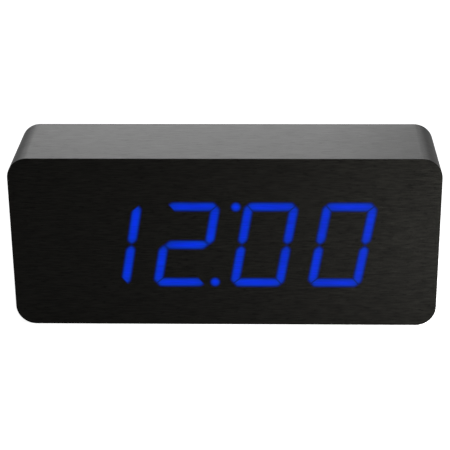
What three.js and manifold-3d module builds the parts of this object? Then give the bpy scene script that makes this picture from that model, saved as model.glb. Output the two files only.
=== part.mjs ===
import * as THREE from "three";
import { mergeVertices } from "three/addons/utils/BufferGeometryUtils.js";
import Module from "manifold-3d";

const wasm = await Module();
wasm.setup();

// Block clock with a four-digit display behind its front skin, in millimetres.
// X is the width, +Z is up and the lit face looks along -Y. The origin is under the middle of the base.

// Driving dimensions of the case
const clockWidth = 210;
const clockHeight = 89;
const clockDepth = 50;
const cornerRadius = 10;
const wallThickness = 9;
const screwCornerRadius = 14;
const filmThickness = 0.6;
const frontBoardThickness = 3;

// Rear cover, sunk into the back of the case
const coverThickness = 2.5;
const coverRecess = 1.5;
const ledgeWidth = 3.5;
const coverRimThickness = 1.5;
const coverRimDepth = 3;

// Display: four single-digit modules side by side fill the window of the front board. The margins
// run from the inside of the case to the window, and from a module's edge to its figure.
const digitCount = 4;
const windowSideMargin = 19.8;
const windowEndMargin = 7.3;
const figureSideMargin = 5.9;
const figureEndMargin = 5.75;
const moduleDepth = 12;
const strokeWidth = 4.3;
const slantDegrees = 10;
const displayShiftX = 0.4;
const displayDrop = 0.85;
const boardThickness = 1.6;

// Rear controls
const buttonTravel = 0.5;
const buttonRadius = 3.6;
const buttonPitch = 16;
const switchHeight = 3.5;
const plungerProud = 1.5;
const flangeThickness = 1;
const flangeGap = 0.15;
const slideTravel = 2;

// Battery bay for four small cells
const cellCount = 4;
const cellDiameter = 10.5;
const cellLength = 44.5;
const cellPitch = 11.2;
const bayWall = 1.4;

// Clearances, and the one overrun that every cut has
const fitGap = 0.3;
const runGap = 0.15;
const overrun = 1;

// Facets on round pieces
const cornerSteps = 5;
const slotSteps = 2;
const roundSides = 20;
const smallSides = 12;

// Places worked out from the driving dimensions
const caseCentreZ = clockHeight / 2;
const innerWidth = clockWidth - 2 * wallThickness;
const innerHeight = clockHeight - 2 * wallThickness;
const yFront = -clockDepth / 2;
const yBack = clockDepth / 2;
const yFilmBack = yFront + filmThickness;
const yFrontBoardBack = yFilmBack + frontBoardThickness;
const yCoverOuter = yBack - coverRecess;
const yCoverInner = yCoverOuter - coverThickness;
const digitPitch = (innerWidth - 2 * windowSideMargin) / digitCount;
const moduleHeight = innerHeight - 2 * windowEndMargin;
const digitWidth = digitPitch - 2 * figureSideMargin;
const digitHeight = moduleHeight - 2 * figureEndMargin;
const displayCentreX = displayShiftX;
const displayCentreZ = caseCentreZ - displayDrop;
const yMainBoardFront = yFilmBack + moduleDepth;
const yMainBoardBack = yMainBoardFront + boardThickness;
const keyStandoff = flangeGap + flangeThickness + plungerProud + switchHeight;
const yKeyBoardBack = yCoverInner - keyStandoff;
const yKeyBoardFront = yKeyBoardBack - boardThickness;

// Finishes
function finish(color, roughness, metalness = 0) {
  return new THREE.MeshStandardMaterial({ color, roughness, metalness });
}
const wrappedWood = finish(0x20201f, 0.45);
const faceSkin = finish(0x191918, 0.5);
const rawBoard = finish(0x7a5c3e, 0.9);
const blackPlastic = finish(0x171717, 0.55);
const digitBlack = finish(0x0c0c0d, 0.6);
const digitResin = finish(0x2a3fd0, 0.35);
const circuitGreen = finish(0x1d5a33, 0.45);
const chipBlack = finish(0x121214, 0.5);
const steel = finish(0xb4b6b8, 0.35, 0.9);
const springSteel = finish(0xc8c8c4, 0.3, 0.95);
const creamPlastic = finish(0xe6e0cc, 0.5);
const greyRibbon = finish(0x9a9a9a, 0.6);
const redWire = finish(0xa81818, 0.5);
const blackWire = finish(0x151515, 0.5);

// A closed geometry as a solid that can be joined and cut
function solidOf(geometry) {
  const bare = geometry.clone();
  bare.deleteAttribute("normal");
  bare.deleteAttribute("uv");
  const merged = mergeVertices(bare);
  const corners = merged.index.array;
  const kept = [];
  for (let i = 0; i < corners.length; i += 3) {
    const [a, b, c] = [corners[i], corners[i + 1], corners[i + 2]];
    if (a !== b && b !== c && c !== a) kept.push(a, b, c);
  }
  return new wasm.Manifold(new wasm.Mesh({
    numProp: 3,
    vertProperties: new Float32Array(merged.attributes.position.array),
    triVerts: new Uint32Array(kept),
  }));
}

// The triangles of a finished solid
function geometryOf(solid) {
  const mesh = solid.getMesh();
  const geometry = new THREE.BufferGeometry();
  geometry.setAttribute("position", new THREE.BufferAttribute(mesh.vertProperties, 3));
  geometry.setIndex(new THREE.BufferAttribute(mesh.triVerts, 1));
  geometry.computeVertexNormals();
  return geometry;
}

function joined(first, ...others) {
  return others.reduce((whole, other) => whole.add(other), first);
}

function cutBy(first, ...tools) {
  return tools.reduce((whole, tool) => whole.subtract(tool), first);
}

// Outlines, drawn in the X and Z of the clock
function roundedRect(width, height, radius, centreX = 0, centreZ = caseCentreZ) {
  const corner = Math.min(radius, width / 2, height / 2);
  const right = centreX + width / 2 - corner;
  const left = centreX - width / 2 + corner;
  const high = centreZ + height / 2 - corner;
  const low = centreZ - height / 2 + corner;
  const shape = new THREE.Shape();
  shape.absarc(right, high, corner, 0, Math.PI / 2);
  shape.absarc(left, high, corner, Math.PI / 2, Math.PI);
  shape.absarc(left, low, corner, Math.PI, Math.PI * 1.5);
  shape.absarc(right, low, corner, Math.PI * 1.5, Math.PI * 2);
  return shape;
}

function plainRect(width, height, centreX, centreZ) {
  const shape = new THREE.Shape();
  shape.moveTo(centreX - width / 2, centreZ - height / 2);
  shape.lineTo(centreX + width / 2, centreZ - height / 2);
  shape.lineTo(centreX + width / 2, centreZ + height / 2);
  shape.lineTo(centreX - width / 2, centreZ + height / 2);
  shape.closePath();
  return shape;
}

// An outline in X and Z, given thickness along Y
function plateGeometry(shape, yFrom, yTo, steps = cornerSteps) {
  const settings = { depth: yTo - yFrom, bevelEnabled: false, curveSegments: steps };
  const geometry = new THREE.ExtrudeGeometry(shape, settings);
  return geometry.rotateX(Math.PI / 2).translate(0, yTo, 0);
}

function plate(shape, yFrom, yTo, steps = cornerSteps) {
  return solidOf(plateGeometry(shape, yFrom, yTo, steps));
}

// An outline in Y and Z, given thickness along X
function sidePlate(shape, xFrom, xTo, steps = cornerSteps) {
  const settings = { depth: xTo - xFrom, bevelEnabled: false, curveSegments: steps };
  const geometry = new THREE.ExtrudeGeometry(shape, settings);
  return solidOf(geometry.rotateX(Math.PI / 2).rotateZ(Math.PI / 2).translate(xFrom, 0, 0));
}

function block(xFrom, xTo, yFrom, yTo, zFrom, zTo) {
  const geometry = new THREE.BoxGeometry(xTo - xFrom, yTo - yFrom, zTo - zFrom);
  return solidOf(geometry.translate((xFrom + xTo) / 2, (yFrom + yTo) / 2, (zFrom + zTo) / 2));
}

// A block given by the middle of its X and Z sides and by its two Y planes
function blockAt(centreX, centreZ, width, height, yFrom, yTo) {
  return block(
    centreX - width / 2,
    centreX + width / 2,
    yFrom,
    yTo,
    centreZ - height / 2,
    centreZ + height / 2,
  );
}

// A profile of [radius, y] turned about an axis along Y
function turned(profile, centreX, centreZ, sides = roundSides) {
  const points = profile.map(([radius, y]) => new THREE.Vector2(radius, y));
  return solidOf(new THREE.LatheGeometry(points, sides).translate(centreX, 0, centreZ));
}

function rod(radius, yFrom, yTo, centreX, centreZ, sides = roundSides) {
  return turned([[0, yFrom], [radius, yFrom], [radius, yTo], [0, yTo]], centreX, centreZ, sides);
}

// The section of a wire, as a regular polygon
function wireSection(radius, sides) {
  const angles = Array.from({ length: sides }, (_, i) => (Math.PI * 2 * i) / sides);
  return new THREE.Shape(angles.map((angle) =>
    new THREE.Vector2(radius * Math.cos(angle), radius * Math.sin(angle))));
}

// A wire along a curve
function wireAlong(curve, radius, sides, steps) {
  const settings = { steps, extrudePath: curve, bevelEnabled: false };
  return solidOf(new THREE.ExtrudeGeometry(wireSection(radius, sides), settings));
}

// A rod along X
function crossRod(radius, xFrom, xTo, y, z, sides = smallSides) {
  const points = [[0, xFrom], [radius, xFrom], [radius, xTo], [0, xTo]];
  const profile = points.map(([across, along]) => new THREE.Vector2(across, along));
  const geometry = new THREE.LatheGeometry(profile, sides).rotateZ(-Math.PI / 2);
  return solidOf(geometry.translate(0, y, z));
}

const clock = new THREE.Group();

function place(name, solid, material) {
  const mesh = new THREE.Mesh(geometryOf(solid), material);
  mesh.name = name;
  clock.add(mesh);
}

// Screws: a turned shank with a countersunk or a pan head, whose outer face is at yTop
const shankTaperShare = 2;

function shankProfile(yTip, yUnderHead, radius) {
  return [[0, yTip], [radius, yTip + radius * shankTaperShare], [radius, yUnderHead]];
}

const coverScrew = { shank: 1.4, head: 2.9, headHeight: 1.7, length: 11, inset: 2 };

function coverScrewPlaces() {
  const x = innerWidth / 2 - coverScrew.inset;
  const z = innerHeight / 2 - coverScrew.inset;
  return [[-x, z], [x, z], [-x, -z], [x, -z]].map(([across, up]) => [across, caseCentreZ + up]);
}

function coverScrewSolid([x, z]) {
  const yUnderHead = yCoverOuter - coverScrew.headHeight;
  const profile = [
    ...shankProfile(yCoverOuter - coverScrew.length, yUnderHead, coverScrew.shank),
    [coverScrew.head, yCoverOuter],
    [0, yCoverOuter],
  ];
  return turned(profile, x, z, smallSides);
}

const boardScrew = { shank: 1.1, head: 2.3, headHeight: 1.5, bite: 5 };

// A pan-head screw through a board; side is 1 where the head is towards the back
function boardScrewSolid(x, z, yBoard, yOther, side) {
  const underHead = Math.abs(yBoard - yOther);
  const top = underHead + boardScrew.headHeight;
  const profile = [
    [0, -boardScrew.bite],
    [boardScrew.shank, -boardScrew.bite + boardScrew.shank],
    [boardScrew.shank, underHead],
    [boardScrew.head, underHead],
    [boardScrew.head, (underHead + top) / 2],
    [boardScrew.head / 2, top],
    [0, top],
  ];
  const points = profile.map(([radius, y]) => new THREE.Vector2(radius, y));
  const geometry = new THREE.LatheGeometry(points, smallSides);
  if (side < 0) geometry.rotateX(Math.PI);
  return solidOf(geometry.translate(x, yOther, z));
}

// Case sleeve: a ring milled from wood board and wrapped in black film. Its inner corners are left
// thick for the cover screws, and a rebate at the back takes the cover.
const coverOpeningWidth = innerWidth + 2 * ledgeWidth;
const coverOpeningHeight = innerHeight + 2 * ledgeWidth;
const rebateRadius = Math.max(cornerRadius - wallThickness + ledgeWidth, ledgeWidth / 2);

function caseSleeve() {
  const outer = plate(roundedRect(clockWidth, clockHeight, cornerRadius), yFrontBoardBack, yBack);
  const bore = roundedRect(innerWidth, innerHeight, screwCornerRadius);
  const rebate = roundedRect(coverOpeningWidth, coverOpeningHeight, rebateRadius);
  const yPilotEnd = yCoverOuter - coverScrew.length - fitGap;
  const pilots = coverScrewPlaces().map(([x, z]) =>
    rod(coverScrew.shank + runGap, yPilotEnd, yBack, x, z, smallSides));
  return cutBy(
    outer,
    plate(bore, yFrontBoardBack - overrun, yBack),
    plate(rebate, yCoverInner, yBack + overrun),
    ...pilots,
  );
}

// Front board: thin board glued to the sleeve, with one window that the digits fill
const windowWidth = digitCount * digitPitch + 2 * fitGap;
const windowHeight = moduleHeight + 2 * fitGap;

function frontBoard() {
  const shape = roundedRect(clockWidth, clockHeight, cornerRadius);
  shape.holes.push(plainRect(windowWidth, windowHeight, displayCentreX, displayCentreZ));
  return plate(shape, yFilmBack, yFrontBoardBack);
}

// Face film: the grained skin that hides the display until it lights
function faceFilm() {
  return plate(roundedRect(clockWidth, clockHeight, cornerRadius), yFront, yFilmBack);
}

place("case_sleeve", caseSleeve(), wrappedWood);
place("front_board", frontBoard(), rawBoard);
place("face_film", faceFilm(), faceSkin);

// Digits: mitred bars of a slanted seven-segment figure, with the decimal point at the lower right.
// The verticals end in blunt points at the middle, and the outer tips of the corners are trimmed.
const mitreGap = 0.9;
const tipTrim = 1.3;
const middleTip = 0.35;
const middleFlat = 0.5;
const pointDiameter = 4.4;
const pointSideMargin = 5.25;
const pointEndMargin = 7.95;
const slant = Math.tan(THREE.MathUtils.degToRad(slantDegrees));
const barColumn = (digitWidth - strokeWidth) / 2;
const barRow = (digitHeight - strokeWidth) / 2;
const pointOffsetX = digitPitch / 2 - pointSideMargin;
const pointDrop = moduleHeight / 2 - pointEndMargin;

function topBar() {
  const half = strokeWidth / 2;
  const outer = barColumn + half - mitreGap / Math.SQRT2;
  const inner = outer - strokeWidth;
  return [
    [outer - tipTrim, barRow + half],
    [-outer + tipTrim, barRow + half],
    [-outer + tipTrim / 2, barRow + half - tipTrim / 2],
    [-inner, barRow - half],
    [inner, barRow - half],
    [outer - tipTrim / 2, barRow + half - tipTrim / 2],
  ];
}

function upperRightBar() {
  const half = strokeWidth / 2;
  const top = barRow + half - mitreGap / Math.SQRT2;
  return [
    [barColumn + half, middleTip + half],
    [barColumn + half, top - tipTrim],
    [barColumn + half - tipTrim / 2, top - tipTrim / 2],
    [barColumn - half, top - strokeWidth],
    [barColumn - half, middleTip + half],
    [barColumn - middleFlat, middleTip + middleFlat],
    [barColumn + middleFlat, middleTip + middleFlat],
  ];
}

function middleBar() {
  const half = strokeWidth / 2;
  const tip = barColumn + middleTip - mitreGap * Math.SQRT2;
  return [
    [tip, 0],
    [tip - half, half],
    [half - tip, half],
    [-tip, 0],
    [half - tip, -half],
    [tip - half, -half],
  ];
}

function mirrored(outline, across, up) {
  return outline.map(([u, v]) => [across * u, up * v]);
}

const barOutlines = [
  topBar(),
  upperRightBar(),
  mirrored(upperRightBar(), 1, -1),
  mirrored(topBar(), 1, -1),
  mirrored(upperRightBar(), -1, -1),
  mirrored(upperRightBar(), -1, 1),
  middleBar(),
];

function extent(values) {
  const low = Math.min(...values);
  const high = Math.max(...values);
  return { centre: (low + high) / 2, half: (high - low) / 2 };
}

// A bar grown by a clearance on all sides, slanted, and narrowed from scale sFrom to scale sTo
function barSolid(outline, clearance, yFrom, yTo, sFrom, sTo) {
  const across = extent(outline.map(([u]) => u));
  const up = extent(outline.map(([, v]) => v));
  const growU = 1 + clearance / across.half;
  const growV = 1 + clearance / up.half;
  const slanted = outline.map(([u, v]) => {
    const wide = (u - across.centre) * growU;
    const high = (v - up.centre) * growV;
    return new THREE.Vector2(wide + high * slant, high);
  });
  const geometry = plateGeometry(new THREE.Shape(slanted), yFrom, yTo);
  const places = geometry.attributes.position;
  for (let i = 0; i < places.count; i += 1) {
    const scale = places.getY(i) < (yFrom + yTo) / 2 ? sFrom : sTo;
    places.setX(i, places.getX(i) * scale);
    places.setZ(i, places.getZ(i) * scale);
  }
  geometry.translate(across.centre + up.centre * slant, 0, up.centre);
  return solidOf(geometry);
}

const shellSideGap = 0.1;
const shellWall = 1;
const substrateThickness = 1.2;
const fillLayer = 0.8;
const windowClearance = 0.2;
const resinRecess = 0.1;
const cupShare = 0.62;
const yRecess = yMainBoardFront - substrateThickness - fillLayer;
const shellWidth = digitPitch - shellSideGap;
const cupDepth = yRecess - yFilmBack;
const scalePerLength = (1 - cupShare) / cupDepth;

// Reflector shell: a black block with seven flared cups, a round one for the point and a recess
// at the back for the layer of resin and the substrate
function digitShell() {
  const body = blockAt(0, 0, shellWidth, moduleHeight, yFilmBack, yMainBoardFront);
  const recessWidth = shellWidth - 2 * shellWall;
  const recessHeight = moduleHeight - 2 * shellWall;
  const spread = scalePerLength * overrun;
  const cups = barOutlines.map((outline) => barSolid(
    outline,
    windowClearance,
    yFilmBack - overrun,
    yRecess + overrun,
    1 + spread,
    cupShare - spread,
  ));
  const pointCup = rod(
    pointDiameter / 2 + windowClearance,
    yFilmBack - overrun,
    yRecess + overrun,
    pointOffsetX,
    -pointDrop,
    smallSides,
  );
  const recess = blockAt(0, 0, recessWidth, recessHeight, yRecess, yMainBoardFront + overrun);
  return cutBy(body, ...cups, pointCup, recess);
}

// Resin: clear potting that fills the cups and joins them in one layer
function digitFill() {
  const width = shellWidth - 2 * shellWall - 2 * windowClearance;
  const height = moduleHeight - 2 * shellWall - 2 * windowClearance;
  const yFace = yFilmBack + resinRecess;
  const yJoin = yRecess + fillLayer / 2;
  const layer = blockAt(0, 0, width, height, yRecess, yRecess + fillLayer);
  const bars = barOutlines.map((outline) => barSolid(
    outline,
    0,
    yFace,
    yJoin,
    1 - scalePerLength * resinRecess,
    1 - scalePerLength * (yJoin - yFilmBack),
  ));
  const point = rod(pointDiameter / 2, yFace, yJoin, pointOffsetX, -pointDrop, smallSides);
  return joined(layer, ...bars, point);
}

// Substrate: small board that closes the module, with two rows of five pins
const pinPitch = 2.54;
const pinRowInset = 2.8;
const pinWidth = 0.5;
const pinTail = 1.4;
const pinsPerRow = 5;

function pinPlaces() {
  const places = [];
  for (const side of [-1, 1]) {
    for (let i = 0; i < pinsPerRow; i += 1) {
      const up = side * (moduleHeight / 2 - pinRowInset);
      places.push([(i - (pinsPerRow - 1) / 2) * pinPitch, up]);
    }
  }
  return places;
}

function digitSubstrate() {
  const width = shellWidth - 2 * shellWall - 2 * windowClearance;
  const height = moduleHeight - 2 * shellWall - 2 * windowClearance;
  const yFrom = yMainBoardFront - substrateThickness;
  const board = blockAt(0, 0, width, height, yFrom, yMainBoardFront);
  const yTail = yMainBoardBack + pinTail;
  const pins = pinPlaces().map(([x, z]) =>
    blockAt(x, z, pinWidth, pinWidth, yFrom + substrateThickness / 2, yTail));
  return joined(board, ...pins);
}

function digitCentres() {
  return Array.from({ length: digitCount }, (_, i) =>
    displayCentreX + (i - (digitCount - 1) / 2) * digitPitch);
}

const upsideDown = [false, false, true, false];

function placeDigits() {
  const parts = [
    ["digit_shell", digitShell(), digitBlack],
    ["digit_resin", digitFill(), digitResin],
    ["digit_substrate", digitSubstrate(), circuitGreen],
  ];
  digitCentres().forEach((x, i) => {
    for (const [name, solid, material] of parts) {
      const geometry = geometryOf(solid);
      if (upsideDown[i]) geometry.rotateY(Math.PI);
      const mesh = new THREE.Mesh(geometry, material);
      mesh.name = `${name}_${i + 1}`;
      mesh.position.set(x, 0, displayCentreZ);
      clock.add(mesh);
    }
  });
}

placeDigits();

// Main board behind the digits, on two wood rails glued to the front board
const boardSideGap = 8;
const boardEndGap = 3.5;
const boardCorner = 2;
const mainBoardWidth = innerWidth - 2 * boardSideGap;
const mainBoardHeight = innerHeight - 2 * boardEndGap - 2 * displayDrop;
const railWidth = 8;
const railGap = 1.6;
const railEndGap = 1.2;
const railHoleInset = 7;
const railHeight = moduleHeight - 2 * railEndGap;
const railHoleSpan = railHeight - 2 * railHoleInset;
const railX = windowWidth / 2 + railGap + railWidth / 2;

function boardScrewPlaces() {
  const up = railHoleSpan / 2;
  return [[-railX, up], [railX, up], [-railX, -up], [railX, -up]].map(([x, z]) => [
    displayCentreX + x,
    displayCentreZ + z,
  ]);
}

function screwHole(yFrom, yTo, x, z) {
  return rod(boardScrew.shank + runGap, yFrom, yTo, x, z, smallSides);
}

function mainBoard() {
  const outline = roundedRect(
    mainBoardWidth,
    mainBoardHeight,
    boardCorner,
    displayCentreX,
    displayCentreZ,
  );
  const yFrom = yMainBoardFront - overrun;
  const yTo = yMainBoardBack + overrun;
  const pinHole = pinWidth + 2 * runGap;
  const pinHoles = digitCentres().flatMap((centreX) => pinPlaces().map(([x, z]) =>
    blockAt(centreX + x, displayCentreZ + z, pinHole, pinHole, yFrom, yTo)));
  return cutBy(
    plate(outline, yMainBoardFront, yMainBoardBack),
    ...pinHoles,
    ...boardScrewPlaces().map(([x, z]) => screwHole(yFrom, yTo, x, z)),
  );
}

function boardRail(side) {
  const x = displayCentreX + side * railX;
  const body = blockAt(x, displayCentreZ, railWidth, railHeight, yFrontBoardBack, yMainBoardFront);
  const yEnd = yMainBoardFront - boardScrew.bite - fitGap;
  const holes = [-1, 1].map((up) =>
    screwHole(yEnd, yMainBoardFront + overrun, x, displayCentreZ + (up * railHoleSpan) / 2));
  return cutBy(body, ...holes);
}

place("board_rail_left", boardRail(-1), rawBoard);
place("board_rail_right", boardRail(1), rawBoard);
place("main_board", mainBoard(), circuitGreen);
boardScrewPlaces().forEach(([x, z], i) => {
  const solid = boardScrewSolid(x, z, yMainBoardBack, yMainBoardFront, 1);
  place(`board_screw_${i + 1}`, solid, steel);
});

// Rear parts: the key board and the battery bay each have one half of the case, a little outside
// the middle of it, with vents between them
const keyShift = 5;
const keyMiddleGap = 20;
const keyBoardEndGap = 13.5;
const keyX = -innerWidth / 4 - keyShift;
const keyZ = caseCentreZ;
const keyBoardWidth = 2 * (-keyMiddleGap - keyX);
const keyBoardHeight = innerHeight - 2 * keyBoardEndGap;
const rowShift = 1;
const buttonRise = keyBoardHeight / 4 + rowShift;
const controlDrop = keyBoardHeight / 4 + rowShift;
const jackOffset = -18;
const micOffset = 18;
const keyPostInset = 4;
const keyPostSpan = keyBoardWidth - 2 * keyPostInset;
const keyPostRadius = 3;
const buttonNames = ["set", "up", "down"];
const buttonZ = keyZ + buttonRise;
const controlZ = keyZ - controlDrop;

function buttonX(i) {
  return keyX + (i - 1) * buttonPitch;
}

function keyPostPlaces() {
  return [-1, 1].map((side) => [keyX + (side * keyPostSpan) / 2, keyZ]);
}

const bayLengthSlack = 5.3;
const baySlack = 0.4;
const bayLength = cellLength + bayLengthSlack;
const bayWidth = cellCount * cellPitch;
const bayFlange = 3.2;
const bayFlangeThickness = 1.6;
const bayFloor = 1.2;
const bayShift = 4.5;
const bayX = innerWidth / 4 + bayShift;
const bayZ = caseCentreZ;
const yBayFloor = yCoverInner - cellDiameter - baySlack;
const doorStep = 1.6;
const doorOpeningWidth = bayLength + 2 * doorStep;
const doorOpeningHeight = bayWidth + 2 * doorStep;

// Main board components, on its back
const packageClearance = 0.05;
const chipLeg = { width: 0.45, reach: 1.2, thickness: 0.3 };

// A moulded chip with a row of legs on its two long sides
function chip(centreX, centreZ, length, width, height, legCount, legPitch) {
  const yFrom = yMainBoardBack + packageClearance;
  const body = blockAt(centreX, centreZ, length, width, yFrom, yFrom + height);
  const legs = [];
  for (let i = 0; i < legCount; i += 1) {
    const x = centreX + (i - (legCount - 1) / 2) * legPitch;
    for (const side of [-1, 1]) {
      const z = centreZ + (side * (width + chipLeg.reach)) / 2;
      const reach = chipLeg.reach + 2 * chipLeg.thickness;
      legs.push(blockAt(x, z, chipLeg.width, reach, yMainBoardBack, yFrom + height / 2));
    }
  }
  return joined(body, ...legs);
}

const legPitch = 1.27;
const controllerChip = { length: 11, width: 7.5, height: 2.3, legs: 8, offset: -12 };
const clockChip = { length: 5.4, width: 4, height: 1.6, legs: 4, gap: 4, rise: 9 };
const buzzer = { radius: 6, height: 8.5, hole: 1.2, holeDepth: 2.5 };
const coinCell = { radius: 10, height: 3.2, bevel: 0.4 };
const coinHolder = { wall: 1.3, floor: 1, height: 4.4, notch: 8 };
const ventX = (keyX + keyBoardWidth / 2 + bayX - bayLength / 2 - bayWall - bayFlange) / 2;

function buzzerSolid() {
  const yTop = yMainBoardBack + buzzer.height;
  const profile = [
    [0, yMainBoardBack],
    [buzzer.radius, yMainBoardBack],
    [buzzer.radius, yTop - buzzer.hole / 2],
    [buzzer.radius - buzzer.hole / 2, yTop],
    [buzzer.hole, yTop],
    [buzzer.hole, yTop - buzzer.holeDepth],
    [0, yTop - buzzer.holeDepth],
  ];
  return turned(profile, ventX, caseCentreZ);
}

function coinHolderSolid() {
  const outer = coinCell.radius + runGap + coinHolder.wall;
  const yTop = yMainBoardBack + coinHolder.height;
  const cup = rod(outer, yMainBoardBack, yTop, bayX, bayZ);
  const yFloor = yMainBoardBack + coinHolder.floor;
  const pocket = rod(coinCell.radius + runGap, yFloor, yTop + overrun, bayX, bayZ);
  const notch = block(
    bayX - outer - overrun,
    bayX,
    yFloor,
    yTop + overrun,
    bayZ - coinHolder.notch / 2,
    bayZ + coinHolder.notch / 2,
  );
  return cutBy(cup, pocket, notch);
}

function coinCellSolid() {
  const yFrom = yMainBoardBack + coinHolder.floor;
  const yTop = yFrom + coinCell.height;
  const shoulder = coinCell.radius - coinCell.bevel;
  const inset = coinCell.radius - coinHolder.wall;
  const profile = [
    [0, yFrom],
    [inset, yFrom],
    [shoulder, yFrom + coinCell.bevel],
    [coinCell.radius - fitGap, yFrom + 2 * coinCell.bevel],
    [coinCell.radius - fitGap, yTop - coinCell.bevel],
    [shoulder, yTop],
    [0, yTop],
  ];
  return turned(profile, bayX, bayZ);
}

place("controller_chip", chip(
  keyX + controllerChip.offset,
  keyZ,
  controllerChip.length,
  controllerChip.width,
  controllerChip.height,
  controllerChip.legs,
  legPitch,
), chipBlack);
place("clock_chip", chip(
  ventX + buzzer.radius + clockChip.gap + clockChip.length / 2,
  caseCentreZ + clockChip.rise,
  clockChip.length,
  clockChip.width,
  clockChip.height,
  clockChip.legs,
  legPitch,
), chipBlack);
place("buzzer", buzzerSolid(), chipBlack);
place("coin_cell_holder", coinHolderSolid(), creamPlastic);
place("coin_cell", coinCellSolid(), steel);

// Ribbon lead from the header on the main board up to the key board, as one smooth bend
const header = { length: 15.4, width: 5, height: 6.5, offset: 12, drop: 13 };
const ribbon = { width: 13, thickness: 1.2, end: 1.5, rise: 18, steps: 12 };
const headerX = keyX + header.offset;
const headerZ = keyZ - header.drop;
const yHeaderTop = yMainBoardBack + header.height;

function ribbonPoint(share) {
  const swing = share * share * (3 - 2 * share);
  const span = yKeyBoardFront - yHeaderTop - 2 * ribbon.end;
  const y = yHeaderTop + ribbon.end + span * share;
  return new THREE.Vector2(y, headerZ + ribbon.rise * swing);
}

function ribbonLead() {
  const middle = [new THREE.Vector2(yHeaderTop, headerZ)];
  for (let i = 0; i <= ribbon.steps; i += 1) middle.push(ribbonPoint(i / ribbon.steps));
  middle.push(new THREE.Vector2(yKeyBoardFront, headerZ + ribbon.rise));
  const side = (sign) => middle.map((point, i) => {
    const before = middle[Math.max(i - 1, 0)];
    const after = middle[Math.min(i + 1, middle.length - 1)];
    const along = after.clone().sub(before).normalize();
    const off = (sign * ribbon.thickness) / 2;
    return new THREE.Vector2(point.x - along.y * off, point.y + along.x * off);
  });
  const outline = [...side(-1), ...side(1).reverse()];
  const left = headerX - ribbon.width / 2;
  return sidePlate(new THREE.Shape(outline), left, left + ribbon.width);
}

place("ribbon_header", blockAt(
  headerX,
  headerZ,
  header.length,
  header.width,
  yMainBoardBack,
  yHeaderTop,
), creamPlastic);
place("ribbon_lead", ribbonLead(), greyRibbon);

// Key board, screwed to two posts of the rear cover
function keyBoard() {
  const outline = roundedRect(keyBoardWidth, keyBoardHeight, boardCorner, keyX, keyZ);
  return cutBy(
    plate(outline, yKeyBoardFront, yKeyBoardBack),
    ...keyPostPlaces().map(([x, z]) =>
      screwHole(yKeyBoardFront - overrun, yKeyBoardBack + overrun, x, z)),
  );
}

place("key_board", keyBoard(), circuitGreen);
keyPostPlaces().forEach(([x, z], i) => {
  const solid = boardScrewSolid(x, z, yKeyBoardFront, yKeyBoardBack, -1);
  place(`key_board_screw_${i + 1}`, solid, steel);
});

// Push switches with their plungers, and the button caps that stand out of the cover
const switchWidth = 6.2;
const plungerRadius = 1.7;
const switchFloor = 0.7;
const capProud = 1.2;
const flangeReach = 1.2;
const capEdge = 0.6;
const ySwitchTop = yKeyBoardBack + switchHeight;
const yFlange = yCoverInner - flangeGap - flangeThickness;

function keySwitch(x) {
  const body = blockAt(x, buttonZ, switchWidth, switchWidth, yKeyBoardBack, ySwitchTop);
  const yFloor = yKeyBoardBack + switchFloor;
  const hole = rod(plungerRadius + runGap, yFloor, ySwitchTop + overrun, x, buttonZ, smallSides);
  return cutBy(body, hole);
}

function keyPlunger(x) {
  const yFrom = yKeyBoardBack + switchFloor + buttonTravel + runGap;
  return rod(plungerRadius, yFrom, yFlange, x, buttonZ, smallSides);
}

function buttonCap(x) {
  const yTip = yCoverOuter + capProud;
  const profile = [
    [0, yFlange],
    [buttonRadius + flangeReach, yFlange],
    [buttonRadius + flangeReach, yFlange + flangeThickness],
    [buttonRadius, yFlange + flangeThickness],
    [buttonRadius, yTip - capEdge],
    [buttonRadius - capEdge, yTip],
    [0, yTip],
  ];
  return turned(profile, x, buttonZ);
}

buttonNames.forEach((name, i) => {
  place(`key_switch_${name}`, keySwitch(buttonX(i)), chipBlack);
  place(`key_plunger_${name}`, keyPlunger(buttonX(i)), creamPlastic);
  place(`button_${name}`, buttonCap(buttonX(i)), blackPlastic);
});

// Slide switch for the sound control, resting at one end of its travel
const slideFrame = { length: 9, width: 4.4, height: 3.6, floor: 1 };
const slideKnob = { length: 2.4, width: 2, proud: 0.8 };
const slideX = keyX;

function slideSlot(yFrom, yTo) {
  const length = slideKnob.length + slideTravel + 2 * fitGap;
  return blockAt(slideX, controlZ, length, slideKnob.width + 2 * fitGap, yFrom, yTo);
}

function slideFrameSolid() {
  const yTop = yKeyBoardBack + slideFrame.height;
  const body = blockAt(
    slideX,
    controlZ,
    slideFrame.length,
    slideFrame.width,
    yKeyBoardBack,
    yTop,
  );
  return cutBy(body, slideSlot(yKeyBoardBack + slideFrame.floor, yTop + overrun));
}

function slideKnobSolid() {
  return blockAt(
    slideX - slideTravel / 2,
    controlZ,
    slideKnob.length,
    slideKnob.width,
    yKeyBoardBack + slideFrame.floor + fitGap,
    yCoverOuter + slideKnob.proud,
  );
}

place("sound_switch_frame", slideFrameSolid(), steel);
place("sound_switch_knob", slideKnobSolid(), blackPlastic);

// Power socket: a moulded block with a round bore and a centre pin
const jack = { width: 8.6, bore: 1.9, boreDepth: 5, pin: 0.65, pinShort: 1 };
const jackCoverHole = 3.5;
const jackX = keyX + jackOffset;

function jackSolid() {
  const yTop = yCoverInner - fitGap;
  const body = blockAt(jackX, controlZ, jack.width, jack.width, yKeyBoardBack, yTop);
  const yFloor = yTop - jack.boreDepth;
  const bore = rod(jack.bore, yFloor, yTop + overrun, jackX, controlZ);
  const pin = rod(jack.pin, yFloor - jack.pin, yTop - jack.pinShort, jackX, controlZ, smallSides);
  return joined(cutBy(body, bore), pin);
}

place("power_socket", jackSolid(), chipBlack);

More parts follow.
